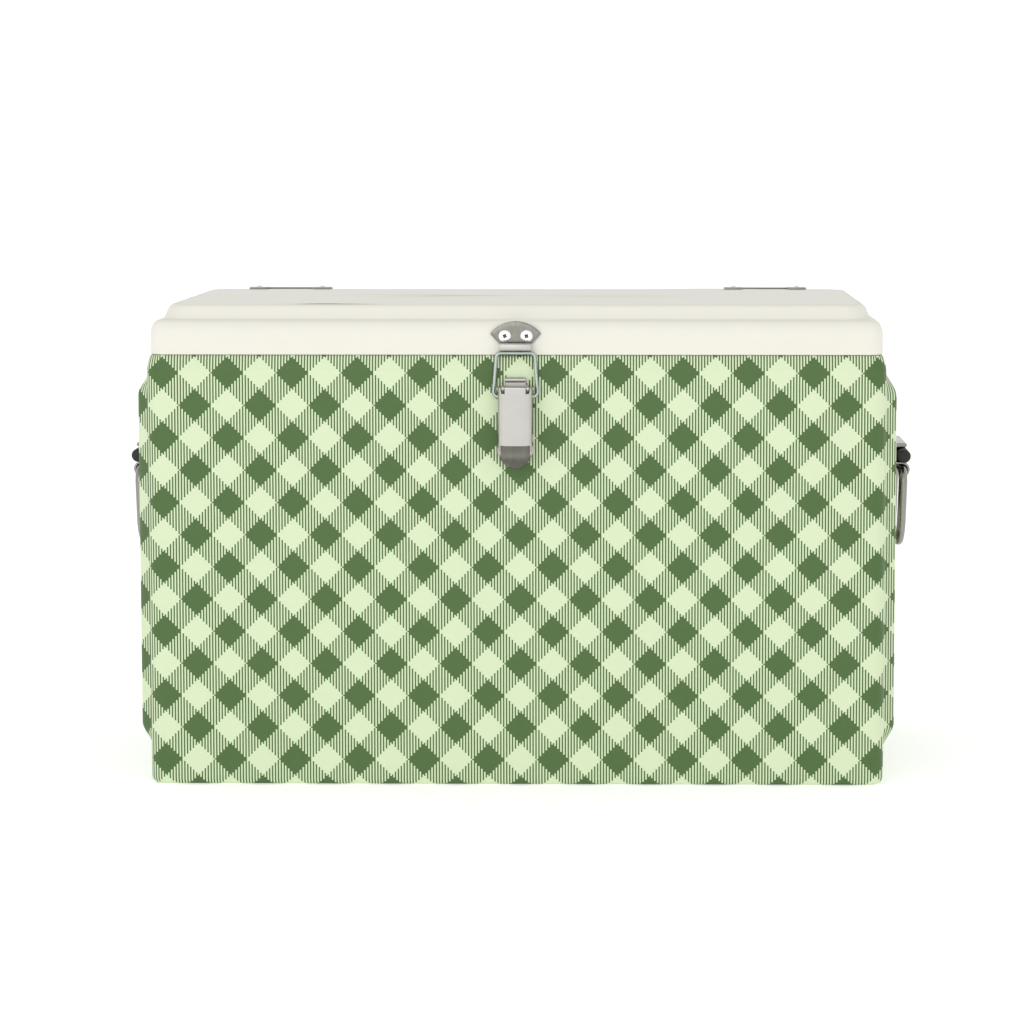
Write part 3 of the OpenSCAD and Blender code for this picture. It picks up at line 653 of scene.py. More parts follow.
class CHEST_OT_body_shell(bpy.types.Operator):
    """Printed steel wrap: a rounded rectangle carried up the wall's outline, with a pressed panel
    raised out of each end"""
    bl_idname = "chest.body_shell"
    bl_label = "Body Shell"

    def execute(self, context):
        high = node_box("body_shell")[1]
        half_w, half_d, height = high[0] - PANEL_OUT, high[1], high[2]
        panel_half = half_d - PANEL_SIDE_GAP
        straight = half_d - CORNER_R
        near = 18 * MM
        front = spread((-1, 1, 9), (-1, -0.995, 2), (0.995, 1, 2))
        flank = spread((-1, 1, 12), (-panel_half / straight, (near - panel_half) / straight, 22),
                       ((panel_half - near) / straight, panel_half / straight, 22))
        stops = outline(front, flank)
        rings, along = body_rings(height)
        inset = rings[:, 0]
        radius = np.maximum(CORNER_R - inset, 2 * MM)
        grid = loft(stops, half_w - inset, half_d - inset, radius, rings[:, 1])
        panel_high = height - PANEL_TOP_GAP
        end_way = np.where(np.abs(stops[:, 2]) > 0.99, stops[:, 2], 0)
        rise = panel_rise(grid[..., 1], grid[..., 2], panel_half, PANEL_LOW, panel_high)
        grid[..., 0] += rise * end_way[:, None]
        # The print goes round with the steps across the front, and with a share of those along depth
        plan = loft(stops, half_w, half_d, CORNER_R, 0.0)[:, 0, :2]
        move = np.abs(np.diff(np.vstack([plan, plan[:1]]), axis=0))
        middle = panel_rise(plan[:, 1], height / 2, panel_half, PANEL_LOW, panel_high)
        middle = np.abs(np.diff(np.append(middle, middle[0]))) * np.abs(end_way)
        on_run = np.abs(plan[:, 1]) > panel_half - PANEL_SIDE_RUN - 1 * MM
        slack = np.where(on_run, PRINT_ON_RUN, 1.0)
        step = move[:, 0] + middle + move[:, 1] * np.where(move[:, 0] > 1e-9, PRINT_ON_CORNER, slack)
        around = np.concatenate([[0], np.cumsum(step)])
        around -= around[-1] / 2
        u, v = np.meshgrid(around, along, indexing="ij")
        sheet = np.stack([u, v], -1)
        uv = np.stack([sheet[:-1, :-1], sheet[1:, :-1], sheet[1:, 1:], sheet[:-1, 1:]], 2)
        shell = surface("body_wrap", grid, wrap_rows=True, uv=uv.reshape(-1, 4, 2))
        thicken(shell, STEEL, -1)
        dress(shell, "chest", "printed_steel", "gingham", "body_shell")
        return {"FINISHED"}


class CHEST_OT_tub(bpy.types.Operator):
    """Moulded tub: one skin from the middle of its underside, up outside, over the rim and down
    inside to the middle of its floor"""
    bl_idname = "chest.tub"
    bl_label = "Tub"

    def execute(self, context):
        low, high = node_box("inner_liner")
        body = node_box("body_shell")[1]
        tub_w, tub_d = body[0] - PANEL_OUT - WALL_DEPTH, body[1] - WALL_DEPTH
        rim_z, under = high[2], high[2] - TUB_T
        out_r, in_r, edge_r = 20 * MM, 18 * MM, 1.1 * MM
        wall = TUB_T
        tub = np.array([tub_w, tub_d])
        rim = high[:2] - tub
        # Each ring is an inset from the tub's outside, a height and a corner radius
        outside = [(a, b, TUB_R - min(a, TUB_R - 6 * MM)) for a, b in
                   arc((out_r, low[2] + out_r), out_r, 270, 180, 8)]
        rings = [(out_r + 40 * MM, low[2], 20 * MM), *outside, (0, under - 6 * MM, TUB_R), (0, under, TUB_R)]
        edge = arc((-rim[0] + edge_r, under + edge_r), edge_r, 270, 90, 9)
        rings += [(-rim[0] + 3 * MM, under, RIM_R), *[(a, b, RIM_R) for a, b in edge],
                  (-rim[0] + 3 * MM, rim_z, RIM_R)]
        roll = 4 * MM
        rings += [(-1.5 * MM, rim_z, TUB_R)]
        rings += [(a, b, TUB_R) for a, b in arc((wall - roll, rim_z - roll), roll, 90, 0, 7)]
        rings += [(wall, rim_z - roll - 20 * MM, TUB_R - wall)]
        floor = arc((wall + in_r, low[2] + TUB_T + in_r), in_r, 180, 270, 9)
        rings += [(a, b, max(TUB_R - a, 8 * MM)) for a, b in floor]
        rings += [(wall + in_r + 30 * MM, low[2] + TUB_T, 8 * MM)]
        rings = distinct(rings)
        grid = loft(PLAIN, tub[0] - rings[:, 0], tub[1] - rings[:, 0], rings[:, 2], rings[:, 1])
        tub_piece = surface("tub", grid, wrap_rows=True, caps=(True, True))
        dress(tub_piece, "chest", "liner_plastic", "plastic", "inner_liner")
        return {"FINISHED"}


# Lid

class CHEST_OT_lid(bpy.types.Operator):
    """Lid pressing: a skirt with a rounded edge, a ledge, and a raised middle with sloped sides,
    as rings from the turned-in hem to the middle of the top"""
    bl_idname = "chest.lid"
    bl_label = "Lid"

    def execute(self, context):
        low, high = node_box("lid_shell")
        ledge, top = low[2] + SKIRT_H, high[2]
        hem_r, foot_r, crest_r, steel = 0.9 * MM, 2.6 * MM, 5 * MM, 0.5 * MM
        edge_in, edge_h = SKIRT_R - 0.2 * MM, 12 * MM
        crown = edge_in + 1.8 * MM
        crest = crown + CROWN_SLOPE
        turn = np.linspace(0, math.pi / 2, 16)
        edge = np.stack([edge_in * (1 - np.cos(turn)), ledge - edge_h * (1 - np.sin(turn))], -1)
        flat = [[inset, top] for inset in (crest + 3 * MM, 60 * MM, 105 * MM, 140 * MM)]
        line = rounded_line([(edge_in, ledge), (crown, ledge), (crest, top), flat[1]],
                            [0, foot_r, crest_r, 0], count=9)
        hem = arc((hem_r, low[2] + hem_r - HEM_DROP), hem_r, 360, 180, 9)
        skirt = np.linspace(low[2] + 3 * MM, ledge - edge_h - 1 * MM, 4)
        rings = distinct(np.concatenate([[[2 * hem_r, low[2] + 8 * MM]], hem,
                                         np.stack([skirt * 0, skirt], -1), edge, line[1:-1], flat]))
        inset = rings[:, 0]
        share = np.clip((inset - 5 * MM) / (4 * MM), 0, 1)
        radius = np.maximum(CORNER_R - inset, 4 * MM) * (1 - share) + CROWN_R * share
        grid = loft(PLAIN_FINE, high[0] - inset, high[1] - inset, radius, rings[:, 1])
        lid = surface("lid_pressing", grid, wrap_rows=True, caps=(False, True))
        thicken(lid, steel, -1)
        dress(lid, "lid", "cream_enamel", "cream", "lid_shell")
        return {"FINISHED"}


class CHEST_OT_lid_lining(bpy.types.Operator):
    """Lid lining and seal: a moulded tray that drops into the tub, and a soft ring with a lip"""
    bl_idname = "chest.lid_lining"
    bl_label = "Lid Lining"

    def execute(self, context):
        low, high = node_box("lid_liner")
        tub = node_box("body_shell")[1][:2] - np.array([PANEL_OUT + WALL_DEPTH, WALL_DEPTH]) - TUB_T
        plug = tub - PLUG_GAP
        reach = high[0] - plug[0]
        under = high[2] - TUB_T
        plug_r = TUB_R - TUB_T - PLUG_GAP
        groove = 1.5 * MM
        line = rounded_line(
            [(0, high[2]), (0, under), (reach, under), (reach + 1 * MM, low[2]), (reach + 24 * MM, low[2]),
             (reach + 26 * MM, low[2] + groove), (reach + 32 * MM, low[2] + groove),
             (reach + 34 * MM, low[2]), (reach + 60 * MM, low[2])],
            np.array([0, 1, 2, 4, 1, 1, 1, 1, 0]) * MM, count=6)
        rings = distinct(np.concatenate([[[40 * MM, high[2]], [2 * MM, high[2]]], line]))
        below = rings[:, 1] < high[2] - 0.1 * MM
        share = np.clip((rings[:, 0] - reach * 0.6) / (reach * 0.4), 0, 1) * below
        radius = RIM_R * (1 - share) + (plug_r - np.maximum(rings[:, 0] - reach, 0) * 0.3) * share
        radius = np.maximum(radius, 4 * MM)
        grid = loft(PLAIN, high[0] - rings[:, 0], high[1] - rings[:, 0], radius, rings[:, 1])
        lining = surface("lid_lining", grid, wrap_rows=True, caps=(True, True))
        dress(lining, "lid", "liner_plastic", "plastic", "lid_liner")
        low, high = node_box("lid_gasket")
        width = 8 * MM
        section = rounded_line([(0, low[2]), (width, low[2]), (width, high[2]), (width * 0.6, high[2]),
                                (width * 0.5, high[2] - 0.6 * MM), (width * 0.4, high[2]), (0, high[2])],
                               np.array([1.6, 1.6, 0.6, 0.3, 0.3, 0.3, 0.6]) * MM, closed=True, count=5)
        inset = section[:, 0]
        grid = loft(PLAIN, high[0] - inset, high[1] - inset, TUB_R + width - inset, section[:, 1])
        seal = surface("lid_seal", grid, wrap_rows=True, wrap_columns=True)
        dress(seal, "lid", "seal_rubber", "rubber", "lid_gasket")
        return {"FINISHED"}


class CHEST_OT_foam(bpy.types.Operator):
    """Insulation: rings of a rounded rectangle that fill the space between the steel and the
    plastic, in the body and in the lid"""
    bl_idname = "chest.foam"
    bl_label = "Foam"

    def execute(self, context):
        body = node_box("body_shell")[1] - np.array([PANEL_OUT, 0, 0])
        tub = body[:2] - WALL_DEPTH
        low_z = node_box("inner_liner")[0][2]
        air = 1.5 * MM
        # Each ring is the half width's inset from the body, a height and a corner radius
        rings = np.array([
            (60 * MM, 2.4 * MM, 10 * MM), (8 * MM, 2.4 * MM, 10 * MM), (air, 8 * MM, 10.5 * MM),
            (air, body[2] - SHOULDER_H, 10.5 * MM), (SHOULDER_IN + air, body[2] - 1.5 * MM, 8 * MM),
            (WALL_DEPTH - air, body[2] - 1.5 * MM, TUB_R + air),
            (WALL_DEPTH - air, low_z + 20 * MM, TUB_R + air),
            (WALL_DEPTH + 4 * MM, low_z + 2 * MM, TUB_R - 4 * MM),
            (WALL_DEPTH + 20 * MM, low_z - air, 10 * MM),
            (WALL_DEPTH + 60 * MM, low_z - air, 8 * MM)])
        grid = loft(PLAIN, body[0] - rings[:, 0], body[1] - rings[:, 0], rings[:, 2], rings[:, 1])
        filling = surface("body_filling", grid, wrap_rows=True, caps=(True, True))
        dress(filling, "chest", "foam", "foam", "body_foam")
        under = node_box("lid_foam")[0][2]
        lid = node_box("lid_shell")
        ledge, top = lid[0][2] + SKIRT_H, lid[1][2]
        lining = node_box("lid_liner")
        plug = tub - TUB_T - PLUG_GAP - TUB_T
        over = lining[1][2] + 0.5 * MM
        crown = SKIRT_R + CROWN_SLOPE + 3 * MM
        inset = lid[1][:2] - plug
        rings = np.array([
            (inset[0] + 50 * MM, under, 12 * MM), (inset[0] + 2 * MM, under, 12 * MM),
            (inset[0] + 1 * MM, over, 12 * MM), (4 * MM, over, 8 * MM), (4 * MM, ledge - 5 * MM, 8 * MM),
            (crown - 2 * MM, ledge - 3 * MM, CROWN_R), (crown + 1 * MM, top - 2 * MM, CROWN_R),
            (inset[0] + 50 * MM, top - 2 * MM, 12 * MM)])
        grid = loft(PLAIN, lid[1][0] - rings[:, 0], lid[1][1] - rings[:, 0], rings[:, 2], rings[:, 1])
        filling = surface("lid_filling", grid, wrap_rows=True, caps=(True, True))
        dress(filling, "lid", "foam", "foam", "lid_foam")
        return {"FINISHED"}


# Latch

class CHEST_OT_lever(bpy.types.Operator):
    """Latch lever: a channel whose half width, cheek depth and lean are functions of the distance
    down the lever, ending in a half-round thumb tab"""
    bl_idname = "chest.lever"
    bl_label = "Latch Lever"

    def execute(self, context):
        look = settings()[1]
        low, high = node_box("latch_lever")
        half_t = LATCH_T / 2
        half_w = LEVER_W / 2 - half_t
        top = high[2]
        body_l = LEVER_L + LEVER_RISE
        thumb_r = half_w - 0.3 * MM
        bend = 2.0 * MM
        tab_l, tab_drop = 4.2 * MM, math.sin(math.radians(20))
        face_y = low[1] + half_t + thumb_r * tab_drop
        down = spread((0, 18 * MM, 13), (18 * MM, body_l - 8 * MM, 8), (body_l - 8 * MM, body_l, 9))
        round_end = np.sin(np.linspace(0, math.radians(82), 15))
        tab = np.concatenate([[tab_l / 2], tab_l + thumb_r * round_end])
        run = np.concatenate([down, body_l + tab])
        past = np.clip((run - body_l - tab_l) / thumb_r, 0, 1)
        along = np.clip((run - body_l) / (thumb_r + tab_l), 0, 1)
        width = np.where(run > body_l, thumb_r * np.sqrt(1 - past ** 2), half_w)
        deep, shallow, lip = high[1] - face_y, 4.5 * MM, 0.9 * MM
        step_down = np.clip((run - 10 * MM) / (5 * MM), 0, 1)
        step_end = np.clip((run - body_l + 4 * MM) / (10 * MM), 0, 1)
        depth = deep + (shallow - deep) * step_down ** 2 * (3 - 2 * step_down)
        depth = depth + (lip - depth) * step_end ** 2 * (3 - 2 * step_end)
        flare = 1.1 * MM * np.sin(math.pi * np.clip((run - body_l + 2 * MM) / (11 * MM), 0, 1))
        # Across the channel: cheek edge, cheek, bend, plate, bend, cheek, cheek edge
        angle = np.radians(np.linspace(0, 90, 5))
        notch = EAR_X + np.array([-1.65, -1.6, 1.6, 1.65]) * MM
        notch = notch / (half_w - bend)
        plate = np.clip(np.concatenate([[-1], -notch[::-1], [-0.45, 0, 0.45], notch, [1]]), -1, 1)
        bend_at = np.minimum(bend, depth * 0.9)[:, None]
        small = np.minimum(bend_at, width[:, None] * 0.4)
        cheek = np.linspace(1, 0, 4)[None, :]
        cheek_x = -(width + flare)[:, None] + 0 * cheek
        cheek_y = small + (depth[:, None] - small) * cheek
        bend_x = -width[:, None] + small * (1 - np.cos(angle))[None, 1:-1]
        bend_y = small * (1 - np.sin(angle))[None, 1:-1]
        plate_x = plate[None, :] * (width[:, None] - small)
        x = np.hstack([cheek_x, bend_x, plate_x, -bend_x[:, ::-1], -cheek_x[:, ::-1]])
        y = np.hstack([cheek_y, bend_y, 0 * plate_x, bend_y[:, ::-1], cheek_y[:, ::-1]])
        crown = 0.25 * MM * (1 - np.clip(np.abs(x) / half_w, 0, 1) ** 2)
        lean = thumb_r * (along ** 1.6)[:, None] * tab_drop
        lean = lean - 0.7 * MM * np.sin(math.pi * along[:, None]) ** 2
        in_notch = np.abs(np.abs(x) - EAR_X) < 1.62 * MM
        sunk = np.where(in_notch, 5.2 * MM, 0) * np.clip(1 - run / (18 * MM), 0, 1)[:, None]
        z = top - run[:, None] - sunk
        grid = np.stack([x, face_y + y - crown - lean, z + 0 * x], -1)
        lever = thicken(surface("latch_lever_pressing", grid, closed=False), LATCH_T * 0.8, edge=look.edge)
        dress(lever, "lever", "latch_steel", "bright", "latch_lever")
        # The tab's faces take the darker thumb steel: painted dark reflection on the lever's own metal
        lever.data.materials.append(finish("thumb"))
        centre = face_centres(lever)
        tab_part = (centre[:, 2] < top - body_l) & (np.abs(centre[:, 0]) < half_w - 1.2 * MM)
        lever.data.polygons.foreach_set("material_index", tab_part.astype(np.int32))
        return {"FINISHED"}


class CHEST_OT_loop(bpy.types.Operator):
    """Draw loop: round wire along a flat path with bent corners and legs that lean outwards"""
    bl_idname = "chest.loop"
    bl_label = "Draw Loop"

    def execute(self, context):
        low, high = node_box("latch_wire")
        base = np.array([0, low[1] + WIRE_R, low[2] + WIRE_R])
        rise = np.array([0, high[1] - low[1] - 2 * WIRE_R, high[2] - low[2] - 2 * WIRE_R])
        reach = np.linalg.norm(rise)
        end_x = LEVER_W / 2 - LATCH_T - 0.8 * MM
        flat = rounded_line([(-end_x, 0), (-LOOP_LOW_X, 0), (-LOOP_TOP_X, reach), (LOOP_TOP_X, reach),
                             (LOOP_LOW_X, 0), (end_x, 0)], 3.4 * MM, count=9)
        path = base + flat[:, :1] * np.array([1, 0, 0]) + flat[:, 1:] * (rise / reach)
        normal = np.cross((1, 0, 0), rise / reach)
        wire = tube("draw_loop_wire", path, normal, WIRE_R, sides=16)
        dress(wire, "draw_loop", "wire_steel", "wire", "latch_wire")
        return {"FINISHED"}


class CHEST_OT_keeper(bpy.types.Operator):
    """Keeper: a domed plate between an arc above and straight flanks below, a hook bent out of its
    lower edge, and two cross-recessed screws"""
    bl_idname = "chest.keeper"
    bl_label = "Keeper"

    def execute(self, context):
        look = settings()[1]
        low, high = node_box("keeper")
        half_w = high[0]
        back = high[1]
        rise = 9.7 * MM
        tip = high[2] - rise
        neck = low[2] + HOOK_LIP
        arc_r = (half_w ** 2 + rise ** 2) / (2 * rise)
        u = np.sin(np.linspace(-1, 1, 41) * math.pi / 2)[:, None] * 0.992
        v = np.linspace(0, 1, 17)[None, :]
        x = u * half_w + 0 * v
        above = high[2] - arc_r + np.sqrt(arc_r ** 2 - x ** 2)
        flank = np.clip((np.abs(x) - HOOK_W / 2) / (half_w - HOOK_W / 2), 0, 1)
        below = neck + (tip - neck) * flank
        z = below + (above - below) * v
        rim = np.minimum(np.minimum((above - z), (z - below)) + 0.6 * MM, 6 * MM)
        dome = 1.0 * MM * np.clip(rim / (3.4 * MM), 0, 1) ** 0.7
        plate = np.stack([x, back - LATCH_T / 2 - dome * 0.8 + 0 * x, z], -1)
        plate = thicken(surface("keeper_plate", plate, closed=False), LATCH_T * 0.7, edge=look.edge)
        y0 = back - LATCH_T / 2
        y1 = y0 - HOOK_THROAT - LATCH_T
        foot = low[2] + LATCH_T / 2
        start, end = (y0 - 0.6 * MM, neck + 0.6 * MM), (y1, low[2] + HOOK_LIP)
        path = rounded_line([start, (y0, foot), (y1, foot), end], 1.3 * MM, count=7)
        hook = bent_sheet("keeper_hook", path, -HOOK_W / 2, HOOK_W / 2, "x", LATCH_T * 0.9, look.edge)
        # The plate takes the darker keeper steel, painted dark reflection; the hook keeps the bright steel
        plate.data.materials.append(finish("keeper"))
        hook.data.materials.append(finish("bright"))
        keeper = joined("keeper_pressing", [plate, hook])
        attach(keeper, "lid")
        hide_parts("keeper")
        heads = node_box("keeper_screws")
        head_r = (heads[1][2] - heads[0][2]) / 2
        head_x = heads[1][0] - head_r
        middle_z = (heads[0][2] + heads[1][2]) / 2
        screws = [screw_head((side * head_x, back - LATCH_T, middle_z), (0, -1, 0), head_r * 1.04, 1.55 * MM,
                             spin) for side, spin in ((-1, 0.3), (1, 0.7))]
        screws = joined("keeper_screw_heads", screws)
        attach(screws, "lid")
        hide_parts("keeper_screws")
        return {"FINISHED"}


def screw_head(seat, axis, radius, height, spin):
    """A pan head: a dome that falls as the fourth power of the radius, less a cross-shaped recess
    whose walls are a smooth step, closed by a flat underside."""
    axis = np.array(axis, float)
    first = np.cross(axis, (0, 0, 1))
    second = np.cross(axis, first)
    r = radius * np.concatenate([[0.02], np.linspace(0.06, 0.62, 22), [0.7, 0.8, 0.88, 0.94, 0.98, 1.0]])
    angle = np.linspace(0, 2 * math.pi, 96, endpoint=False)[:, None]
    x, y = r * np.cos(angle), r * np.sin(angle)
    share = (r / radius)[None, :]
    dome = height * (1 - 0.55 * share ** 4) * np.sqrt(np.clip(1 - share ** 8, 0, 1))
    turned_x = x * math.cos(spin) - y * math.sin(spin)
    turned_y = x * math.sin(spin) + y * math.cos(spin)
    arm, slot = 0.31 * radius, 0.12 * radius
    near = cross_distance(turned_x, turned_y, arm, slot)
    cut = np.clip(0.5 - near / (0.06 * radius), 0, 1)
    lift = dome - cut * height * 0.62 * (1 - 0.4 * share)
    top = x[..., None] * first + y[..., None] * second + lift[..., None] * axis
    under = x[:, -1:, None] * first + y[:, -1:, None] * second
    sink = axis * 0.1 * MM
    grid = np.array(seat) + np.concatenate([top, under - sink, under * 0.5 - sink], axis=1)
    head = surface("screw", grid, wrap_rows=True, caps=(True, True))
    head.data.materials.append(finish("screw"))
    head.data.materials.append(finish("recess"))
    middle = face_centres(head) - np.array(seat)
    a, b = middle @ first, middle @ second
    a, b = a * math.cos(spin) - b * math.sin(spin), a * math.sin(spin) + b * math.cos(spin)
    # Faces inside the cross take the dark recess steel: painted shade
    recess = cross_distance(a, b, arm, slot) < 0
    head.data.polygons.foreach_set("material_index", recess.astype(np.int32))
    return head


def cross_distance(x, y, arm, slot):
    """How far outside a cross a point lies, below nought inside it: the nearer of its two bars."""
    x, y = np.abs(x), np.abs(y)
    return np.minimum(np.maximum(x - arm, y - slot), np.maximum(y - arm, x - slot))


# End handles

class CHEST_OT_handles(bpy.types.Operator):
    """End handles: a bracket of bent sheet with a rolled nose and a curled knuckle, a rubber stop
    bar between them, and a bail of round rod"""
    bl_idname = "chest.handles"
    bl_label = "End Handles"

    def execute(self, context):
        look = settings()[1]
        for name, side in SIDES.items():
            self.bracket(name, side, look)
            self.stop(name, side)
            self.bail(name, side)
        return {"FINISHED"}

    def bracket(self, name, side, look):
        low, high = node_box("handle_bracket_" + name)
        wall = low[0] if side > 0 else high[0]
        t = BRACKET_T / 2
        pivot = node_box("bail_" + name)
        pivot_z = pivot[1][2] - ROD_R
        pivot_out = abs((pivot[0][0] + pivot[1][0]) / 2 - wall)
        nose_z = high[2] - NOSE_R
        nose_out = pivot_out - 0.4 * MM
        web = pivot_out + 0.6 * MM - STOP_R - t - 0.15 * MM
        curl = KNUCKLE_R - t
        half = BRACKET_W / 2
        knuckle = arc((pivot_out, pivot_z), curl, 90, -75, 20)
        shelf = np.concatenate([[(t, pivot_z + curl), (pivot_out - 0.5 * MM, pivot_z + curl)], knuckle])
        web_line = np.array([(web, pivot_z - curl), (web, nose_z - NOSE_R + t)])
        sheets = []
        for line in (shelf, web_line):
            placed = np.stack([wall + side * line[:, 0], line[:, 1]], -1)
            sheets.append(bent_sheet("sheet", placed, -half, half, "y", BRACKET_T * 0.96, look.edge))
        # Hood: a flat-sided bar with a round nose, drawn in a little at its two ends
        soft = 1.2 * MM
        hood_r = 1.7 * MM
        hood_z, tip = nose_z - NOSE_R + hood_r - 0.3 * MM, nose_out + NOSE_R - hood_r
        nose = np.concatenate([[(0.2 * MM, hood_z - hood_r)], arc((tip, hood_z), hood_r, -90, 90, 15),
                               [(0.2 * MM, hood_z + hood_r)]])
        turn = np.linspace(0, math.pi / 2, 5)
        draw_in = np.concatenate([soft * (1 - np.sin(turn)), soft * (1 - np.sin(turn[::-1]))])
        along = np.concatenate([soft * (1 - np.cos(turn)) - half, half - soft * (1 - np.cos(turn[::-1]))])
        middle = np.array([tip * 0.5, hood_z])
        shrink = 1 - draw_in[None, :] / (2 * hood_r)
        out = middle[0] + (nose[:, 0, None] - middle[0]) * (1 - draw_in[None, :] / tip)
        up = middle[1] + (nose[:, 1, None] - middle[1]) * shrink
        grid = np.stack([wall + side * out, np.broadcast_to(along, out.shape), up], -1)
        sheets.append(surface("hood", grid, wrap_rows=True, caps=(True, True)))
        # Back plate: a rounded rectangle with a broken front edge
        ring = loft(outline(spread((-1, 1, 5)), spread((-1, 1, 5)), 6), high[1],
                    (high[2] - low[2]) / 2, 7 * MM, 0.0)[:, 0, :2]
        size = np.array([0.9, 1, 1, 0.985])[None, :, None]
        flat = ring[:, None] * size
        out = np.array([0.1, 0.1, 1.7, 2.0])[None, :] * t + 0 * flat[..., 0]
        grid = np.stack([wall + side * out, flat[..., 0], (low[2] + high[2]) / 2 + flat[..., 1]], -1)
        sheets.append(surface("plate", grid, wrap_rows=True, caps=(True, True)))
        for piece in sheets:
            piece.data.materials.append(finish("chrome"))
        whole = joined("handle_bracket_pressing_" + name, sheets)
        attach(whole, "chest")
        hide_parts("handle_bracket_" + name)

    def stop(self, name, side):
        low, high = node_box("handle_stop_" + name)
        centre_x = (high[0] - STOP_R) if side > 0 else (low[0] + STOP_R)
        bar_r = STOP_R - 0.35 * MM
        centre_z = (low[2] + high[2]) / 2 - 0.35 * MM
        reach = high[1]
        end = 2.2 * MM
        rim = arc((bar_r - end, reach - end), end, 90, 0, 6)
        mirrored = (rim * [1, -1])[::-1]
        seam = np.array([(bar_r, reach - end - 1 * MM), (bar_r, 1.2 * MM), (bar_r - 0.3 * MM, 0.6 * MM),
                         (bar_r - 0.3 * MM, -0.6 * MM), (bar_r, -1.2 * MM), (bar_r, end + 1 * MM - reach)])
        profile = np.concatenate([[(bar_r * 0.3, reach)], rim, seam, mirrored, [(bar_r * 0.3, -reach)]])
        bar = lathe("handle_stop_bar_" + name, profile, (centre_x, 0, centre_z), (0, 1, 0), 36)
        dress(bar, "chest", "stop_rubber", "rubber", "handle_stop_" + name)

    def bail(self, name, side):
        low, high = node_box("bail_" + name)
        middle_x = (low[0] + high[0]) / 2
        y = high[1] - ROD_R
        top, foot = high[2] - ROD_R, low[2] + ROD_R
        flat = rounded_line([(-y, foot), (y, foot), (y, top), (-y, top)],
                            np.array([17, 17, 10.5, 10.5]) * MM, closed=True, count=12)
        hang = (top - flat[:, 1]) / (top - foot)
        path = np.stack([middle_x - side * 2.2 * MM * hang ** 2, flat[:, 0], flat[:, 1]], -1)
        rod = tube("bail_rod_" + name, path, (1, 0, 0), ROD_R, closed=True, sides=24)
        dress(rod, side_body(side), "handle_chrome", "chrome", "bail_" + name)


def side_body(side):
    return "right_handle" if side > 0 else "left_handle"


# Hinges

class CHEST_OT_hinges(bpy.types.Operator):
    """Hinges: leaves of bent sheet with rolled knuckles, and tabs that reach over the lid"""
    bl_idname = "chest.hinges"
    bl_label = "Hinges"

    def execute(self, context):
        look = settings()[1]
        for name in SIDES:
            self.leaves(name, look)
        return {"FINISHED"}

    def leaves(self, name, look):
        low, high = node_box("hinge_body_leaf_" + name)
        lid_low, lid_high = node_box("hinge_lid_leaf_" + name)
        knuckle_r = (high[1] - low[1]) / 2
        axis_y, axis_z = high[1] - knuckle_r, high[2] - knuckle_r
        t = LEAF_T / 2
        curl = knuckle_r - t
        middle = (low[0] + high[0]) / 2
        end_l = (high[0] - low[0] - LEAF_KNUCKLE_L) / 2 - 0.3 * MM
        body_line = np.concatenate([[(low[1] + t, low[2])], arc((axis_y, axis_z), curl, 180, -120, 24)])
        flat_line = np.array([(low[1] + t, low[2]), (low[1] + t, axis_z - knuckle_r - 1.6 * MM)])
        leaf = LEAF_T * 0.94
        parts = [bent_sheet("flat", flat_line, low[0], high[0], "x", leaf, look.edge)]
        for x in (low[0], high[0] - end_l):
            parts.append(bent_sheet("end", body_line, x, x + end_l, "x", leaf, look.edge))
        body_leaf = joined("hinge_leaf_on_body_" + name, [self.zinc(p) for p in parts])
        self.fit(body_leaf, "chest", "hinge_body_leaf_" + name)
        lid_box = node_box("lid_shell")[1]
        skirt_y = lid_box[1] + 0.2 * MM + t
        ledge = node_box("lid_shell")[0][2] + SKIRT_H
        centre = np.array([lid_box[1] - SKIRT_R, ledge - SKIRT_R])
        wrap = SKIRT_R + 0.2 * MM + t
        wide = axis_z + knuckle_r + 0.3 * MM + LEAF_T
        crest_y = lid_box[1] - SKIRT_R - CROWN_SLOPE + LEAF_T
        top_z = lid_high[2] - t
        turn = [centre + wrap * np.array([1, math.tan(math.radians(15))]),
                centre + wrap / math.cos(math.radians(20)) * np.array([math.cos(math.radians(50)),
                                                                      math.sin(math.radians(50))])]
        strap = [(low[1] + t, wide), (skirt_y, wide + 5 * MM), *turn, (crest_y, top_z)]
        end_y = lid_low[1] + t
        over = rounded_line([strap[-2], (crest_y, top_z), (end_y, top_z)], 2.2 * MM)
        roll = np.concatenate([arc((axis_y, axis_z), curl, -60, 180, 22), [(low[1] + t, wide + 0.2 * MM)]])
        half = LEAF_KNUCKLE_L / 2
        tab_w = 16 * MM
        bent = rounded_line(strap, 2 * MM)
        parts = [bent_sheet("roll", roll, middle - half, middle + half, "x", leaf, look.edge),
                 bent_sheet("strap", bent, low[0], high[0], "x", leaf, look.edge)]
        for x in (low[0], high[0] - tab_w):
            parts.append(bent_sheet("tab", over, x, x + tab_w, "x", LEAF_T * 0.9, look.edge))
        lid_leaf = joined("hinge_leaf_on_lid_" + name, [self.zinc(p) for p in parts])
        self.fit(lid_leaf, "lid", "hinge_lid_leaf_" + name)

    def zinc(self, piece):
        piece.data.materials.append(finish("zinc"))
        return piece

    def fit(self, piece, body, node):
        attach(piece, body)
        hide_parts(node)


# Frame nodes that keep their own shape

NODE_FINISHES = {
    "bottom_pan": "green",
    "hinge_pin_left": "zinc", "hinge_pin_right": "zinc",
    "hinge_body_screws": "screw", "hinge_lid_screws": "screw",
    "latch_base": "bright", "latch_base_rivets": "screw", "latch_pin": "grey",
    "handle_rivets_left": "screw", "handle_rivets_right": "screw",
    "drain_tube": "plastic", "drain_washer": "rubber", "drain_nut": "plastic", "drain_plug": "rubber",
}


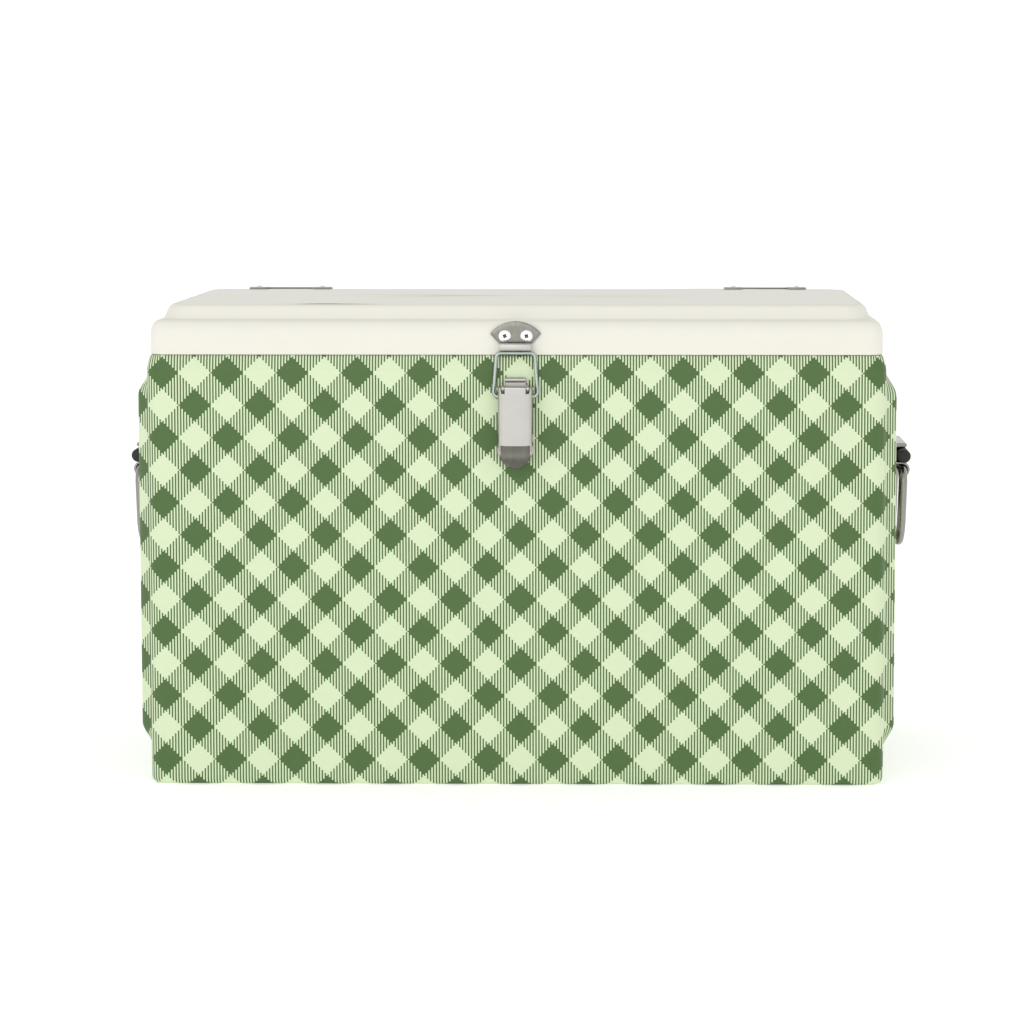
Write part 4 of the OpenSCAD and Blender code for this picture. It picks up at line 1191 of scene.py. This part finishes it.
class CHEST_OT_kept_nodes(bpy.types.Operator):
    """Finishes of the frame's own pieces that stay as they are"""
    bl_idname = "chest.kept_nodes"
    bl_label = "Kept Pieces"

    def execute(self, context):
        for name, look in NODE_FINISHES.items():
            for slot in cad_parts[name].material_slots:
                slot.material = finish(look)
        return {"FINISHED"}


# Stage

class CHEST_OT_stage(bpy.types.Operator):
    """Pale floor, soft light and the camera"""
    bl_idname = "chest.stage"
    bl_label = "Stage"

    def execute(self, context):
        stage = settings()[2]
        front = CAD_BOX[0][1]
        wide = 30.0
        corners = wide * np.array([[[-1, -1, 0], [-1, 1, 0]], [[1, -1, 0], [1, 1, 0]]], float)
        floor = surface("floor", corners[::-1], closed=False)
        g = Graph("pale_floor", roughness=0.9, emission_color=(1, 1, 1, 1), emission_strength=0.35)
        pale = g.blend(g.noise(0.4), (0.88, 0.88, 0.88), (0.9, 0.9, 0.9))
        floor.data.materials.append(g.set(base_color=pale))
        # Sky: white at the skyline and greyer overhead
        world = bpy.data.worlds.new("soft_white")
        context.scene.world = world
        world.use_nodes = True
        sky = Nodes(world.node_tree)
        up = sky.field("ShaderNodeSeparateXYZ", "Z", Vector=sky.field("ShaderNodeTexCoord", "Generated"))
        fade = ((0.55, (1, 1, 1, 1)), (0.99, (0.6, 0.6, 0.6, 1)))
        shade = sky.field("ShaderNodeValToRGB", "Color", {"stops": fade}, Fac=up)
        paint = world.node_tree.nodes["Background"]
        sky.feed(paint.inputs["Color"], shade)
        sky.feed(paint.inputs["Strength"], 1.04)
        lamp = bpy.data.lights.new("front_softbox", "AREA")
        lamp.shape = "RECTANGLE"
        lamp.size, lamp.size_y = 3.2, 2.0
        lamp.energy = 22
        box = bpy.data.objects.new("front_softbox", lamp)
        context.scene.collection.objects.link(box)
        box.location = (-0.8, front - 3.2, 1.4)
        box.rotation_euler = (Vector((0, 0, 0.2)) - box.location).to_track_quat("-Z", "Y").to_euler()
        lens = bpy.data.cameras.new("camera")
        lens.lens = stage.lens
        lens.shift_x = stage.shift
        lens.clip_end = 100
        camera = bpy.data.objects.new("camera", lens)
        context.scene.collection.objects.link(camera)
        wall_y = -node_box("body_shell")[1][1]
        camera.location = (stage.aside, wall_y - stage.distance, stage.height)
        camera.rotation_euler = (math.pi / 2 - stage.pitch, 0, stage.yaw)
        context.scene.camera = camera
        context.scene.view_settings.view_transform = "Standard"
        return {"FINISHED"}


class CHEST_PT_panel(bpy.types.Panel):
    """Lists the chest's builders and settings"""
    bl_idname = "CHEST_PT_panel"
    bl_label = "Chest"
    bl_space_type = "VIEW_3D"
    bl_region_type = "UI"
    bl_category = "Chest"

    def draw(self, context):
        for group in settings():
            for key in group.bl_rna.properties.keys():
                if key not in ("rna_type", "name"):
                    self.layout.prop(group, key)
        for step in STEPS:
            self.layout.operator(step.bl_idname)


STEPS = [CHEST_OT_body_shell, CHEST_OT_tub, CHEST_OT_lid, CHEST_OT_lid_lining, CHEST_OT_foam,
         CHEST_OT_lever, CHEST_OT_loop, CHEST_OT_keeper, CHEST_OT_handles, CHEST_OT_hinges,
         CHEST_OT_kept_nodes, CHEST_OT_stage]
GROUPS = {"chest_print": CHEST_PG_print, "chest_finish": CHEST_PG_finish, "chest_stage": CHEST_PG_stage}


def register():
    for kind in [*GROUPS.values(), *STEPS, CHEST_PT_panel]:
        bpy.utils.register_class(kind)
    for name, kind in GROUPS.items():
        setattr(bpy.types.Scene, name, PointerProperty(type=kind))


def unregister():
    for name in GROUPS:
        delattr(bpy.types.Scene, name)
    for kind in [CHEST_PT_panel, *reversed(STEPS), *GROUPS.values()]:
        bpy.utils.unregister_class(kind)


def main():
    register()
    for step in STEPS:
        group, name = step.bl_idname.split(".")
        getattr(getattr(bpy.ops, group), name)()


if __name__ == "__main__":
    main()
